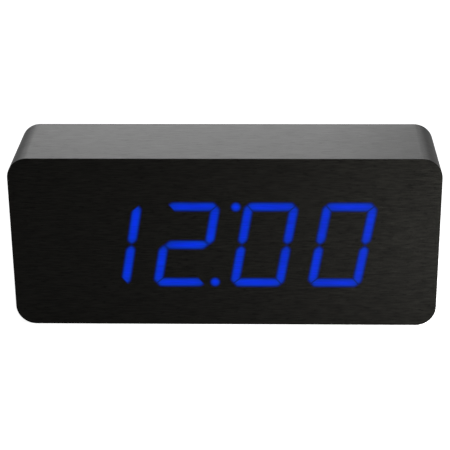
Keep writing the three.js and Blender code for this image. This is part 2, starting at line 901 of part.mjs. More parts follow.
// Microphone capsule that wakes the display, with a felt-covered opening
const microphone = { radius: 3, height: 4.4, rim: 0.6, sunk: 0.3 };
const micX = keyX + micOffset;

function microphoneSolid() {
  const yTop = yKeyBoardBack + microphone.height;
  const profile = [
    [0, yKeyBoardBack],
    [microphone.radius, yKeyBoardBack],
    [microphone.radius, yTop],
    [microphone.radius - microphone.rim, yTop],
    [microphone.radius - microphone.rim, yTop - microphone.sunk],
    [0, yTop - microphone.sunk],
  ];
  return turned(profile, micX, controlZ);
}

place("microphone", microphoneSolid(), steel);

// Rear cover: a moulded plate with a locating rim, posts, openings for the controls, vents and the
// battery opening, whose sides hold the pins of the door
const vent = { length: 16, width: 1.6, pitch: 3.6, count: 5 };
const micHole = 1;
const nailNotch = { width: 12, height: 4, depth: 1.2 };
const doorPinRadius = 0.6;
const doorPinLength = 1.6;
const doorThickness = coverThickness - fitGap;
const doorWidth = doorOpeningWidth - 2 * fitGap;
const doorHeight = doorOpeningHeight - 2 * fitGap;
const doorBottom = bayZ - doorHeight / 2;
const hingeY = yCoverOuter - doorThickness / 2;
const hingeZ = doorBottom + doorThickness / 2;

const coverRimInnerHeight = innerHeight - 2 * fitGap - 2 * coverRimThickness;

function coverRim() {
  const width = innerWidth - 2 * fitGap;
  const height = innerHeight - 2 * fitGap;
  const radius = screwCornerRadius - fitGap;
  const yFrom = yCoverInner - coverRimDepth;
  const outer = plate(roundedRect(width, height, radius), yFrom, yCoverInner + fitGap);
  const inside = roundedRect(
    width - 2 * coverRimThickness,
    coverRimInnerHeight,
    radius - coverRimThickness,
  );
  return cutBy(outer, plate(inside, yFrom - overrun, yCoverInner + overrun));
}

function countersink([x, z]) {
  const yUnderHead = yCoverOuter - coverScrew.headHeight - runGap;
  const shankHole = coverScrew.shank + runGap;
  const flare = (coverScrew.head - coverScrew.shank) / coverScrew.headHeight;
  const profile = [
    [0, yCoverInner - overrun],
    [shankHole, yCoverInner - overrun],
    [shankHole, yUnderHead],
    [coverScrew.head + runGap + flare * overrun, yCoverOuter + overrun],
    [0, yCoverOuter + overrun],
  ];
  return turned(profile, x, z, smallSides);
}

function ventCuts() {
  return Array.from({ length: vent.count }, (_, i) => {
    const z = caseCentreZ + (i - (vent.count - 1) / 2) * vent.pitch;
    const slot = roundedRect(vent.length, vent.width, vent.width / 2, ventX, z);
    return plate(slot, yCoverInner - overrun, yCoverOuter + overrun, slotSteps);
  });
}

function rearCover() {
  const outline = roundedRect(
    coverOpeningWidth - 2 * fitGap,
    coverOpeningHeight - 2 * fitGap,
    rebateRadius - fitGap,
  );
  const throughFrom = yCoverInner - overrun;
  const throughTo = yCoverOuter + overrun;
  const posts = keyPostPlaces().map(([x, z]) =>
    rod(keyPostRadius, yKeyBoardBack, yCoverInner + fitGap, x, z, smallSides));
  const postHoles = keyPostPlaces().map(([x, z]) =>
    screwHole(yKeyBoardBack - overrun, yKeyBoardBack + boardScrew.bite + fitGap, x, z));
  const buttonHoles = buttonNames.map((_, i) =>
    rod(buttonRadius + fitGap, throughFrom, throughTo, buttonX(i), buttonZ));
  const jackHole = rod(jackCoverHole, throughFrom, throughTo, jackX, controlZ);
  const soundHole = rod(micHole, throughFrom, throughTo, micX, controlZ, smallSides);
  const batteryOpening = blockAt(
    bayX,
    bayZ,
    doorOpeningWidth,
    doorOpeningHeight,
    throughFrom,
    throughTo,
  );
  const pinHoles = crossRod(
    doorPinRadius + runGap,
    bayX - doorWidth / 2 - doorPinLength - fitGap,
    bayX + doorWidth / 2 + doorPinLength + fitGap,
    hingeY,
    hingeZ,
  );
  const notchZ = bayZ + doorOpeningHeight / 2;
  const notchShape = roundedRect(
    nailNotch.width,
    2 * nailNotch.height,
    nailNotch.height,
    bayX,
    notchZ,
  );
  const notch = plate(notchShape, yCoverOuter - nailNotch.depth, throughTo);
  return cutBy(
    joined(plate(outline, yCoverInner, yCoverOuter), coverRim(), ...posts),
    ...postHoles,
    ...coverScrewPlaces().map(countersink),
    ...buttonHoles,
    slideSlot(throughFrom, throughTo),
    jackHole,
    soundHole,
    ...ventCuts(),
    batteryOpening,
    pinHoles,
    notch,
  );
}

place("rear_cover", rearCover(), blackPlastic);
coverScrewPlaces().forEach((spot, i) => place(`cover_screw_${i + 1}`, coverScrewSolid(spot), steel));

// Battery box: a moulded tray behind the cover with a low saddle under each cell, straight pockets
// at both ends for the contacts, and two slots for the solder tags
const saddleRise = 2.5;
const contactThickness = 0.4;
const contactPocket = 2.2;
const tag = { width: 3, thickness: 0.6, rise: 3, reach: 2 };
const cellRadius = cellDiameter / 2 + runGap;
const yTag = yBayFloor + tag.rise;
const bayLeft = bayX - bayLength / 2;
const bayRight = bayX + bayLength / 2;

function cellZ(i) {
  return bayZ + ((cellCount - 1) / 2 - i) * cellPitch;
}

function tagCut(i) {
  return block(
    bayLeft - bayWall - overrun,
    bayLeft + contactThickness,
    yTag - tag.thickness / 2 - fitGap,
    yTag + tag.thickness / 2 + fitGap,
    cellZ(i) - tag.width / 2 - fitGap,
    cellZ(i) + tag.width / 2 + fitGap,
  );
}

function batteryBox() {
  const width = bayLength + 2 * bayWall;
  const height = bayWidth + 2 * bayWall;
  const flangeWidth = width + 2 * bayFlange;
  const flangeHeight = Math.min(height + 2 * bayFlange, coverRimInnerHeight - 2 * fitGap);
  const yFlangeFront = yCoverInner - bayFlangeThickness;
  const shell = blockAt(bayX, bayZ, width, height, yBayFloor - bayFloor, yCoverInner);
  const flange = blockAt(bayX, bayZ, flangeWidth, flangeHeight, yFlangeFront, yCoverInner);
  const room = blockAt(
    bayX,
    bayZ,
    bayLength,
    bayWidth,
    yBayFloor + saddleRise,
    yCoverInner + overrun,
  );
  const pockets = [bayLeft + contactPocket / 2, bayRight - contactPocket / 2].map((x) =>
    blockAt(x, bayZ, contactPocket, bayWidth, yBayFloor, yCoverInner + overrun));
  const saddles = [0, 1, 2, 3].map((i) =>
    crossRod(cellRadius, bayLeft, bayRight, yBayFloor + cellRadius, cellZ(i), roundSides));
  return cutBy(joined(shell, flange), room, ...pockets, ...saddles, tagCut(0), tagCut(3));
}

place("battery_box", batteryBox(), blackPlastic);

// Contacts: bent plates with a pressed button for the positive end and a cone spring for the other
const contactWidth = 9.4;
const contactDepth = 8.6;
const buttonPress = { radius: 2.4, height: 0.9 };
const spring = { wire: 0.6, base: 3.4, tip: 2.1, length: 5, turns: 3.75, steps: 8, sides: 5 };

class ConeSpring extends THREE.Curve {
  constructor(x, y, z, direction) {
    super();
    this.start = new THREE.Vector3(x, y, z);
    this.direction = direction;
  }

  getPoint(share) {
    const angle = Math.PI * 2 * spring.turns * share;
    const radius = spring.base + (spring.tip - spring.base) * share;
    return new THREE.Vector3(
      this.start.x + this.direction * spring.length * share,
      this.start.y + radius * Math.cos(angle),
      this.start.z + radius * Math.sin(angle),
    );
  }
}

// The least gap between neighbouring turns of a spring, measured on points of its wire
function leastTurnGap(curve) {
  const count = Math.round(spring.turns * spring.steps);
  const points = curve.getPoints(count);
  let least = Infinity;
  for (let i = 0; i < points.length; i += 1) {
    for (let j = i + spring.steps / 2; j < points.length; j += 1) {
      least = Math.min(least, points[i].distanceTo(points[j]) - spring.wire);
    }
  }
  return least;
}

// End is -1 at the left wall and 1 at the right wall; plus and minus are cell numbers or null
function contact(end, plus, minus) {
  const xWall = end < 0 ? bayLeft : bayRight;
  const xFace = xWall - end * contactThickness;
  const cells = [plus, minus].filter((i) => i !== null).map(cellZ);
  const yMiddle = yBayFloor + cellDiameter / 2;
  const pieces = [block(
    Math.min(xWall, xFace),
    Math.max(xWall, xFace),
    yMiddle - contactDepth / 2,
    yMiddle + contactDepth / 2,
    Math.min(...cells) - contactWidth / 2,
    Math.max(...cells) + contactWidth / 2,
  )];
  if (plus !== null) {
    const xTip = xFace - end * buttonPress.height;
    pieces.push(crossRod(
      buttonPress.radius,
      Math.min(xFace + end * contactThickness / 2, xTip),
      Math.max(xFace + end * contactThickness / 2, xTip),
      yMiddle,
      cellZ(plus),
    ));
  }
  if (minus !== null) {
    const curve = new ConeSpring(xFace, yMiddle, cellZ(minus), -end);
    const steps = Math.round(spring.turns * spring.steps);
    pieces.push(wireAlong(curve, spring.wire / 2, spring.sides, steps));
    console.log(`least gap between spring turns ${leastTurnGap(curve).toFixed(2)}`);
  }
  if (cells.length === 1) {
    pieces.push(block(
      xWall - bayWall - tag.reach,
      xWall + contactThickness / 2,
      yTag - tag.thickness / 2,
      yTag + tag.thickness / 2,
      cells[0] - tag.width / 2,
      cells[0] + tag.width / 2,
    ));
  }
  return joined(...pieces);
}

place("contact_plus", contact(-1, 0, null), springSteel);
place("contact_link_1", contact(1, 1, 0), springSteel);
place("contact_link_2", contact(-1, 2, 1), springSteel);
place("contact_link_3", contact(1, 3, 2), springSteel);
place("contact_minus", contact(-1, null, 3), springSteel);

// Leads from the two solder tags to pads on the front of the key board
const lead = { radius: 0.7, sides: 6, steps: 24, padInset: 3, sag: 4, padGap: 0.1, padSpan: 28 };

function batteryLead(cell, side) {
  const xStart = bayLeft - bayWall - tag.reach - runGap;
  const xPad = keyX + keyBoardWidth / 2 - lead.padInset;
  const zPad = keyZ + (side * lead.padSpan) / 2;
  const run = xStart - xPad;
  const point = (share, y, z) => new THREE.Vector3(xStart - run * share, y, z);
  const yLow = yKeyBoardFront - lead.sag;
  const [earlyShare, middleShare, lateShare] = [0.12, 0.5, 0.94];
  const route = new THREE.CatmullRomCurve3([
    point(0, yTag, cellZ(cell)),
    point(earlyShare, yTag, cellZ(cell)),
    point(middleShare, yLow, (cellZ(cell) + zPad) / 2),
    point(lateShare, yLow, zPad),
    point(1, yKeyBoardFront - lead.sag / 2, zPad),
    point(1, yKeyBoardFront - lead.padGap, zPad),
  ], false, "centripetal");
  return wireAlong(route, lead.radius, lead.sides, lead.steps);
}

place("battery_lead_red", batteryLead(0, 1), redWire);
place("battery_lead_black", batteryLead(3, -1), blackWire);

// Battery door: flush in the cover, with a rounded lower edge on two pins, ribs that press on the
// cells, and a tongue between two slots that springs at the upper edge
const tongue = { width: 11, slot: 1, length: 9, nib: 0.7, nibReach: 0.15 };
const doorRib = { thickness: 1, height: 0.5, lengthShare: 0.7 };

function batteryDoor() {
  const half = doorThickness / 2;
  const profile = new THREE.Shape();
  profile.absarc(hingeY, hingeZ, half, Math.PI, Math.PI * 2);
  profile.lineTo(hingeY + half, doorBottom + doorHeight);
  profile.lineTo(hingeY - half, doorBottom + doorHeight);
  profile.closePath();
  const body = sidePlate(profile, bayX - doorWidth / 2, bayX + doorWidth / 2);
  const pins = crossRod(
    doorPinRadius,
    bayX - doorWidth / 2 - doorPinLength,
    bayX + doorWidth / 2 + doorPinLength,
    hingeY,
    hingeZ,
  );
  const yInner = hingeY - half;
  const ribs = [-1, 1].map((side) => blockAt(
    bayX,
    bayZ + (side * cellPitch),
    doorWidth * doorRib.lengthShare,
    doorRib.thickness,
    yInner - doorRib.height,
    yInner + half,
  ));
  const top = doorBottom + doorHeight;
  const nib = block(
    bayX - tongue.width / 2 + tongue.slot,
    bayX + tongue.width / 2 - tongue.slot,
    yInner,
    yInner + tongue.nib,
    top - tongue.nib,
    top + tongue.nibReach,
  );
  const slots = [-1, 1].map((side) => blockAt(
    bayX + (side * (tongue.width + tongue.slot)) / 2,
    top - (tongue.length - overrun) / 2,
    tongue.slot,
    tongue.length + overrun,
    yInner - overrun,
    yCoverOuter + overrun,
  ));
  return cutBy(joined(body, pins, ...ribs, nib), ...slots);
}

place("battery_door", batteryDoor(), blackPlastic);

export default clock;
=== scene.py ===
import math

import bmesh
import bpy
import numpy as np
from mathutils import Matrix, Quaternion, Vector


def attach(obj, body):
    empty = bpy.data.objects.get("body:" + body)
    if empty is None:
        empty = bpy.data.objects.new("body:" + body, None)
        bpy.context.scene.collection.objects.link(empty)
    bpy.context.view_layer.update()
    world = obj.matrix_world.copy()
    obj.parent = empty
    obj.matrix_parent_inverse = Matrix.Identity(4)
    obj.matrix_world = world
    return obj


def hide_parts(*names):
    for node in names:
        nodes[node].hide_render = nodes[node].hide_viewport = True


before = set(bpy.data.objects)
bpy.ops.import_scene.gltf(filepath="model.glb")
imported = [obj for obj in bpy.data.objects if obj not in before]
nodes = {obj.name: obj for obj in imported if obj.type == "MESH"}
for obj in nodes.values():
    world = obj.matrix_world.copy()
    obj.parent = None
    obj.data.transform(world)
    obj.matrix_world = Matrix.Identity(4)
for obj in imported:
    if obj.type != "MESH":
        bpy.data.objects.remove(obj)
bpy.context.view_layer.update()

# Camera: a long lens in front of the clock, about 24 degrees above it and a little to its right,
# so that the front and the top face show and the two ends don't.
view_yaw = -0.032
view_pitch = 0.4125
view_roll = -0.01
view_distance = 0.7555
view_target = Vector((-0.0005, 0, 0.0436))
sensor_width = 36
focal_length_px = 1492
image_width_px = 450

look = Vector((
    math.sin(view_yaw) * math.cos(view_pitch),
    math.cos(view_yaw) * math.cos(view_pitch),
    -math.sin(view_pitch),
))
lens = bpy.data.cameras.new("camera")
lens.sensor_width = sensor_width
lens.lens = sensor_width * focal_length_px / image_width_px
camera = bpy.data.objects.new("camera", lens)
camera.location = view_target - look * view_distance
camera.rotation_mode = "QUATERNION"
turned_by_roll = Quaternion((0, 0, 1), view_roll)
camera.rotation_quaternion = look.to_track_quat("-Z", "Y") @ turned_by_roll
scene = bpy.context.scene
scene.collection.objects.link(camera)
scene.camera = camera
scene.view_settings.view_transform = "Standard"

# Floor: a white table top that the camera sees as plain white, apart from the soft shadow that
# the clock lays on it. The studio round it is white to the camera and grey to everything else.
floor_size = 6
floor_colour = (0.8, 0.8, 0.8)
floor_roughness = 0.9
floor_lift = 0.84
floor_mirrored_share = 0.1
studio_level = 0.3
studio_mirrored_share = 0.086
white = (1, 1, 1, 1)


def add_link(tree, source, target):
    tree.links.new(source, target)


def math_node(tree, operation, first, second=None, third=None):
    node = tree.nodes.new("ShaderNodeMath")
    node.operation = operation
    for socket, value in zip(node.inputs, (first, second, third)):
        if value is None:
            continue
        if isinstance(value, (int, float)):
            socket.default_value = value
        else:
            add_link(tree, value, socket)
    return node.outputs[0]


def background_share(tree, mirrored_share):
    """1 for a ray from the camera or through something clear, mirrored_share for a reflection."""
    path = tree.nodes.new("ShaderNodeLightPath")
    direct = math_node(
        tree, "MAXIMUM", path.outputs["Is Camera Ray"], path.outputs["Is Transmission Ray"])
    return math_node(tree, "MULTIPLY_ADD", path.outputs["Is Glossy Ray"], mirrored_share, direct)


def surface(tree, name):
    """An input of a material's shader."""
    return tree.nodes["Principled BSDF"].inputs[name]


def new_material(name, colour, roughness, specular=0.5, metallic=0):
    """A named material, and the node tree of its surface."""
    material = bpy.data.materials.new(name)
    material.use_nodes = True
    tree = material.node_tree
    surface(tree, "Base Color").default_value = (*colour, 1)
    surface(tree, "Roughness").default_value = roughness
    surface(tree, "Specular IOR Level").default_value = specular
    surface(tree, "Metallic").default_value = metallic
    return material, tree


floor_mesh = bmesh.new()
bmesh.ops.create_grid(floor_mesh, x_segments=1, y_segments=1, size=floor_size / 2)
floor_data = bpy.data.meshes.new("floor")
floor_mesh.to_mesh(floor_data)
floor_mesh.free()
floor = bpy.data.objects.new("floor", floor_data)
scene.collection.objects.link(floor)

floor_paint, tree = new_material("white table top", floor_colour, floor_roughness, specular=0)
surface(tree, "Emission Color").default_value = white
lift = math_node(tree, "MULTIPLY", background_share(tree, floor_mirrored_share), floor_lift)
add_link(tree, lift, surface(tree, "Emission Strength"))
floor_data.materials.append(floor_paint)

world = bpy.data.worlds.new("studio")
scene.world = world
world.use_nodes = True
tree = world.node_tree
ground = tree.nodes["Background"]
ground.inputs["Color"].default_value = white
whiteness = background_share(tree, studio_mirrored_share)
level = math_node(tree, "MULTIPLY_ADD", whiteness, 1 - studio_level, studio_level)
add_link(tree, level, ground.inputs["Strength"])

# Lamps: two wide soft panels far behind the clock, which its top mirrors, and a small soft lamp in
# front of its right end, which lights the front and shows in no reflection.
panel_aim = (0, 0, 0.06)
fill_aim = (0.07, 0, 0.045)


def softbox(name, place, aim, width, height, power):
    """A rectangular lamp at place that faces the point aim."""
    data = bpy.data.lights.new(name, "AREA")
    data.shape = "RECTANGLE"
    data.size = width
    data.size_y = height
    data.energy = power
    lamp = bpy.data.objects.new(name, data)
    lamp.visible_camera = False
    lamp.location = place
    lamp.rotation_mode = "QUATERNION"
    lamp.rotation_quaternion = (Vector(aim) - Vector(place)).to_track_quat("-Z", "Y")
    scene.collection.objects.link(lamp)
    return lamp


softbox("back_softbox", (-0.095, 1.3, 0.45), panel_aim, width=0.62, height=0.5, power=1.78)
softbox("back_panel", (-0.075, 1.35, 0.45), panel_aim, width=1.2, height=0.5, power=1.85)
fill = softbox(
    "right_softbox", (0.215, -0.145, 0.08), fill_aim, width=0.12, height=0.12, power=0.96)
fill.visible_glossy = False

# Case: a block milled hollow from wood board and wrapped in a black grained film from the front
# edge to the back. It has a rebate at the back for the cover, and four pilot holes for its screws.
case_width = 0.210
case_height = 0.089
case_depth = 0.050
case_corner = 0.010
wall = 0.009
bore_corner = 0.014
skin_thickness = 0.0006
board_thickness = 0.003
wrap_thickness = 0.0003
cover_recess = 0.0015
cover_thickness = 0.0025
ledge_width = 0.0035
middle_z = case_height / 2
y_front = -case_depth / 2
y_back = case_depth / 2
y_skin_back = y_front + skin_thickness
y_board_back = y_skin_back + board_thickness
y_cover_out = y_back - cover_recess
y_cover_in = y_cover_out - cover_thickness
bore_width = case_width - 2 * wall
bore_height = case_height - 2 * wall
rebate_width = bore_width + 2 * ledge_width
rebate_height = bore_height + 2 * ledge_width
rebate_corner = case_corner - wall + ledge_width
case_outline = (case_width, case_height, case_corner)
bore_outline = (bore_width, bore_height, bore_corner)
rebate_outline = (rebate_width, rebate_height, rebate_corner)
screw_inset = 0.002
pilot_radius = 0.00155
pilot_depth = 0.009
edge_round = 0.0004
edge_steps = 3
corner_segments = 16
hole_segments = 32
smooth_angle = 40
same_plane = 1e-8
merge_distance = 1e-7
board_gap = 0.00002
film_black = (0.01, 0.01, 0.01)
film_dark = (0.0026, 0.0025, 0.0021)
film_light = (0.0096, 0.0093, 0.0078)
film_roughness = 0.52
grain_roughness = -0.2
pore_level = 0.62
pore_share = 0.2
emboss_depth = 0.00005
emboss_share = 0.35
four_corners = [(across, up) for up in (1, -1) for across in (-1, 1)]


def upright_grid(mesh, width, height, x, y, z, columns=1, rows=1):
    """The vertices of a flat grid of faces in a plane across Y."""
    made = bmesh.ops.create_grid(mesh, x_segments=columns, y_segments=rows, size=0.5)["verts"]
    bmesh.ops.scale(mesh, vec=(width, height, 1), verts=made)
    bmesh.ops.rotate(mesh, cent=(0, 0, 0), matrix=Matrix.Rotation(math.pi / 2, 3, "X"), verts=made)
    bmesh.ops.translate(mesh, vec=(x, y, z), verts=made)
    return made


def rounded_loop(mesh, width, height, corner, y, x=0, z=middle_z, segments=corner_segments):
    """A closed loop of edges: a rectangle with round corners, in a plane across Y."""
    before = set(mesh.faces)
    made = upright_grid(mesh, width, height, x, y, z)
    if corner > 0:
        bmesh.ops.bevel(
            mesh, geom=made, offset=corner, segments=segments, profile=0.5,
            affect="VERTICES", material=-1)
    face = next(f for f in mesh.faces if f not in before)
    edges = list(face.edges)
    bmesh.ops.delete(mesh, geom=[face], context="FACES_ONLY")
    return edges


def inset_loops(mesh, width, height, corner, steps, x=0, z=middle_z, segments=corner_segments):
    """Loops of one outline: each step gives how far it is drawn in, and its y."""
    return [
        rounded_loop(mesh, width - 2 * inset, height - 2 * inset, corner - inset, y, x, z, segments)
        for inset, y in steps]


def edges_at(verts):
    """The edges that meet at the vertices, each of them once."""
    return list(dict.fromkeys(e for v in verts for e in v.link_edges))


def round_loop(mesh, radius, y, x, z):
    """A closed circle of edges in a plane across Y."""
    turn = Matrix.Translation((x, y, z)) @ Matrix.Rotation(math.pi / 2, 4, "X")
    return edges_at(bmesh.ops.create_circle(
        mesh, cap_ends=False, segments=hole_segments, radius=radius, matrix=turn)["verts"])


def join_loops(mesh, loops):
    """A wall from each loop to the next, or a flat face where both lie in one plane."""
    for near, far in zip(loops, loops[1:]):
        if abs(near[0].verts[0].co.y - far[0].verts[0].co.y) < same_plane:
            bmesh.ops.triangle_fill(mesh, edges=near + far, use_beauty=True)
        else:
            bmesh.ops.bridge_loops(mesh, edges=near + far)


def quarter_turn(steps):
    """The cosine and the sine of even steps from 0 to 90 degrees, with both ends."""
    angles = [math.pi / 2 * i / steps for i in range(steps + 1)]
    return [(math.cos(angle), math.sin(angle)) for angle in angles]


def shade(piece, smooth_below=smooth_angle):
    """Smooth shading between sharp edges, in which a large flat face stays flat to its border."""
    piece.data.shade_smooth()
    piece.data.set_sharp_from_angle(angle=math.radians(smooth_below))
    weighting = piece.modifiers.new("flat faces", "WEIGHTED_NORMAL")
    weighting.mode = "FACE_AREA"
    weighting.weight = 100
    weighting.keep_sharp = True


def finished(mesh, name, *materials):
    """The mesh as an object of the scene, with its faces turned outwards."""
    bmesh.ops.recalc_face_normals(mesh, faces=mesh.faces)
    data = bpy.data.meshes.new(name)
    mesh.to_mesh(data)
    mesh.free()
    for material in materials:
        data.materials.append(material)
    piece = bpy.data.objects.new(name, data)
    scene.collection.objects.link(piece)
    shade(piece)
    return piece


def noise_on_object(tree, scale, detail=2, roughness=0.5):
    """Noise on Object coordinates; scale gives the features per metre along X, Y and Z."""
    place = tree.nodes.new("ShaderNodeTexCoord")
    stretch = tree.nodes.new("ShaderNodeMapping")
    stretch.inputs["Scale"].default_value = scale
    noise = tree.nodes.new("ShaderNodeTexNoise")
    noise.inputs["Scale"].default_value = 1
    noise.inputs["Detail"].default_value = detail
    noise.inputs["Roughness"].default_value = roughness
    add_link(tree, place.outputs["Object"], stretch.inputs["Vector"])
    add_link(tree, stretch.outputs["Vector"], noise.inputs["Vector"])
    return noise.outputs["Fac"]


def ramp(tree, value, stops):
    """A colour ramp through (position, colour) stops."""
    node = tree.nodes.new("ShaderNodeValToRGB")
    bands = node.color_ramp.elements
    while len(bands) < len(stops):
        bands.new(0.5)
    for band, (position, colour) in zip(bands, stops):
        band.position = position
        band.color = (*colour, 1)
    add_link(tree, value, node.inputs["Fac"])
    return node.outputs["Color"]


def tint(tree, value, dark, light, low=0.3, high=0.7):
    """Colours a surface from dark to light as the value goes from low to high."""
    add_link(tree, ramp(tree, value, [(low, dark), (high, light)]), surface(tree, "Base Color"))


def vary_roughness(tree, value, change, start):
    """Roughness that changes with a value, from start where the value is 0."""
    varied = math_node(tree, "MULTIPLY_ADD", value, change, start)
    add_link(tree, varied, surface(tree, "Roughness"))


def emboss(tree, height, depth, share):
    """Bumps a surface by a share of the depth that lies between the heights 0 and 1."""
    node = tree.nodes.new("ShaderNodeBump")
    node.inputs["Strength"].default_value = share
    node.inputs["Distance"].default_value = depth
    add_link(tree, height, node.inputs["Height"])
    add_link(tree, node.outputs["Normal"], surface(tree, "Normal"))


def grained_film(name, fine_scale, pore_scale, specular):
    """Black film with a printed and embossed wood grain: fine lines, with longer pores between."""
    material, tree = new_material(name, film_black, film_roughness, specular)
    lines = noise_on_object(tree, fine_scale, detail=3, roughness=0.6)
    pores = math_node(tree, "GREATER_THAN", noise_on_object(tree, pore_scale), pore_level)
    grain = math_node(tree, "SUBTRACT", lines, math_node(tree, "MULTIPLY", pores, pore_share))
    tint(tree, grain, film_dark, film_light)
    vary_roughness(tree, grain, grain_roughness, film_roughness)
    emboss(tree, grain, emboss_depth, emboss_share)
    return material, tree


wrap_film, _ = grained_film(
    "black wood-grain wrap", fine_scale=(110, 1900, 110), pore_scale=(200, 1100, 200), specular=0.5)
wood_board, tree = new_material(
    "wood fibreboard", (0.25, 0.15, 0.08), roughness=0.85, specular=0.3)
fibres = noise_on_object(tree, (1400, 1400, 1400), detail=4, roughness=0.7)
tint(tree, fibres, (0.19, 0.112, 0.055), (0.33, 0.21, 0.115))
emboss(tree, fibres, depth=0.0002, share=0.6)

case = bmesh.new()
rolled_edge = [
    (edge_round * (1 - cosine), y_back - edge_round * (1 - sine))
    for cosine, sine in quarter_turn(edge_steps)]
outside = [
    rounded_loop(case, *bore_outline, y_board_back),
    *inset_loops(case, *case_outline, [
        (wrap_thickness, y_board_back),
        (wrap_thickness, y_skin_back),
        (0, y_skin_back),
        *rolled_edge,
    ]),
    rounded_loop(
        case, rebate_width + edge_round, rebate_height + edge_round, rebate_corner, y_back),
    rounded_loop(case, *rebate_outline, y_back - edge_round / 2),
    rounded_loop(case, *rebate_outline, y_cover_in),
]
join_loops(case, outside)
bore_end = rounded_loop(case, *bore_outline, y_cover_in)
join_loops(case, [bore_end, rounded_loop(case, *bore_outline, y_board_back)])
screw_places = [
    (across * (bore_width / 2 - screw_inset), middle_z + up * (bore_height / 2 - screw_inset))
    for across, up in four_corners]
rims = []
for x, z in screw_places:
    rim = round_loop(case, pilot_radius, y_cover_in, x, z)
    foot = round_loop(case, pilot_radius, y_cover_in - pilot_depth, x, z)
    join_loops(case, [rim, foot])
    bmesh.ops.contextual_create(case, geom=foot)
    rims += rim
bmesh.ops.triangle_fill(case, edges=outside[-1] + bore_end + rims, use_beauty=True)
bmesh.ops.remove_doubles(case, verts=case.verts, dist=merge_distance)
for face in case.faces:
    middle = face.calc_center_median()
    within_width = abs(middle.x) < rebate_width / 2 + edge_round / 4
    within_height = abs(middle.z - middle_z) < rebate_height / 2 + edge_round / 4
    if within_width and within_height and middle.y < y_cover_in + board_gap:
        face.material_index = 1
case_block = finished(case, "case_block", wrap_film, wood_board)
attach(case_block, "case")
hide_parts("case_sleeve")

# Front board: a thin wood board glued into the front of the case, with one window that the four
# digit modules fill. The wrap covers its edge.
module_count = 4
module_pitch = 0.0381
module_height = 0.0564
fit_gap = 0.0003
window_width = module_count * module_pitch + 2 * fit_gap
window_height = module_height + 2 * fit_gap
window_corner = 0.0005
board_inset = wrap_thickness + board_gap
display_drop = 0.00085
display_x = 0.0004
display_z = middle_z - display_drop

board = bmesh.new()
board_loops = []
for y in (y_skin_back, y_board_back):
    outer = rounded_loop(
        board, case_width - 2 * board_inset, case_height - 2 * board_inset,
        case_corner - wrap_thickness, y)
    inner = rounded_loop(
        board, window_width, window_height, window_corner, y, display_x, display_z, segments=4)
    bmesh.ops.triangle_fill(board, edges=outer + inner, use_beauty=True)
    board_loops.append((outer, inner))
for near, far in zip(*board_loops):
    join_loops(board, [near, far])
front_board = finished(board, "front_board_piece", wood_board)
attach(front_board, "case")
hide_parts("front_board")

# Face skin: the same grained film on the front, thin enough for the lit bars to shine through it
# with a soft edge, a little higher on it than they lie behind it. Glow is how much of their light
# reaches each point of the skin.
figure_pitch = 0.0382
figure_height = 0.045
figure_width = 0.02655
stroke = 0.0044
slant = math.tan(math.radians(9.75))
mitre_gap = 0.0002
mitre_sharpness = 3
acute_trim = 0.0033
obtuse_trim = 0.0024
tip_round = 0.00028
middle_tip = 0.00005
middle_flat = 0.0002
point_radius = 0.0022
point_x = 0.01384
point_drop = 0.0202
glow_step = 0.0004
glow_margin = 0.0035
glow_lift = 0.0002
far_off = 0.012
glow_start = -0.0008
glow_full = 0.0012
heart_share = 0.27
heart_start_share = 0.1
heart_full_share = 0.9
end_reach = 0.0075
end_share = 0.3
bar_level = 0.84
veil_share = 0.5
patch_share = 0.45
least_light_share = 0.35
film_fade = -4
least_film_share = 0.1
column = (figure_width - stroke) / 2
row = (figure_height - stroke) / 2
half = stroke / 2


def top_bar():
    """The slant makes one end of the bar acute, and that end loses more of its tip."""
    outer = column + half - mitre_gap / math.sqrt(2)
    inner = outer - stroke
    return [
        (outer - acute_trim, row + half),
        (-outer + obtuse_trim, row + half),
        (-outer + obtuse_trim / 2, row + half - obtuse_trim / 2),
        (-inner, row - half),
        (inner, row - half),
        (outer - acute_trim / 2, row + half - acute_trim / 2),
    ]


def upper_side_bar(tip_trim):
    top = row + half - mitre_gap / math.sqrt(2)
    return [
        (column + half, middle_tip + half),
        (column + half, top - tip_trim),
        (column + half - tip_trim / 2, top - tip_trim / 2),
        (column - half, top - stroke),
        (column - half, middle_tip + half),
        (column - middle_flat, middle_tip + middle_flat),
        (column + middle_flat, middle_tip + middle_flat),
    ]


def middle_bar():
    tip = column + middle_tip - mitre_gap * math.sqrt(2)
    return [(tip, 0), (tip - half, half), (half - tip, half),
            (-tip, 0), (half - tip, -half), (tip - half, -half)]


def mirrored(outline, across, up):
    return [(across * u, up * v) for u, v in outline]


bars = {
    "A": top_bar(),
    "B": upper_side_bar(acute_trim),
    "C": mirrored(upper_side_bar(obtuse_trim), 1, -1),
    "D": mirrored(top_bar(), -1, -1),
    "E": mirrored(upper_side_bar(acute_trim), -1, -1),
    "F": mirrored(upper_side_bar(obtuse_trim), -1, 1),
    "G": middle_bar(),
}
# The sides of each outline that face another bar over a mitre, where the skin shows a finer line.
mitred = {"A": (2, 4), "B": (2,), "C": (2,), "D": (2, 4), "E": (2,), "F": (2,), "G": ()}
# The bars that are lit in each module for 12:00, and P for its point. The third is upside down.
lit = [("BC", False), ("ABGEDP", False), ("ABCDEFP", True), ("ABCDEF", False)]


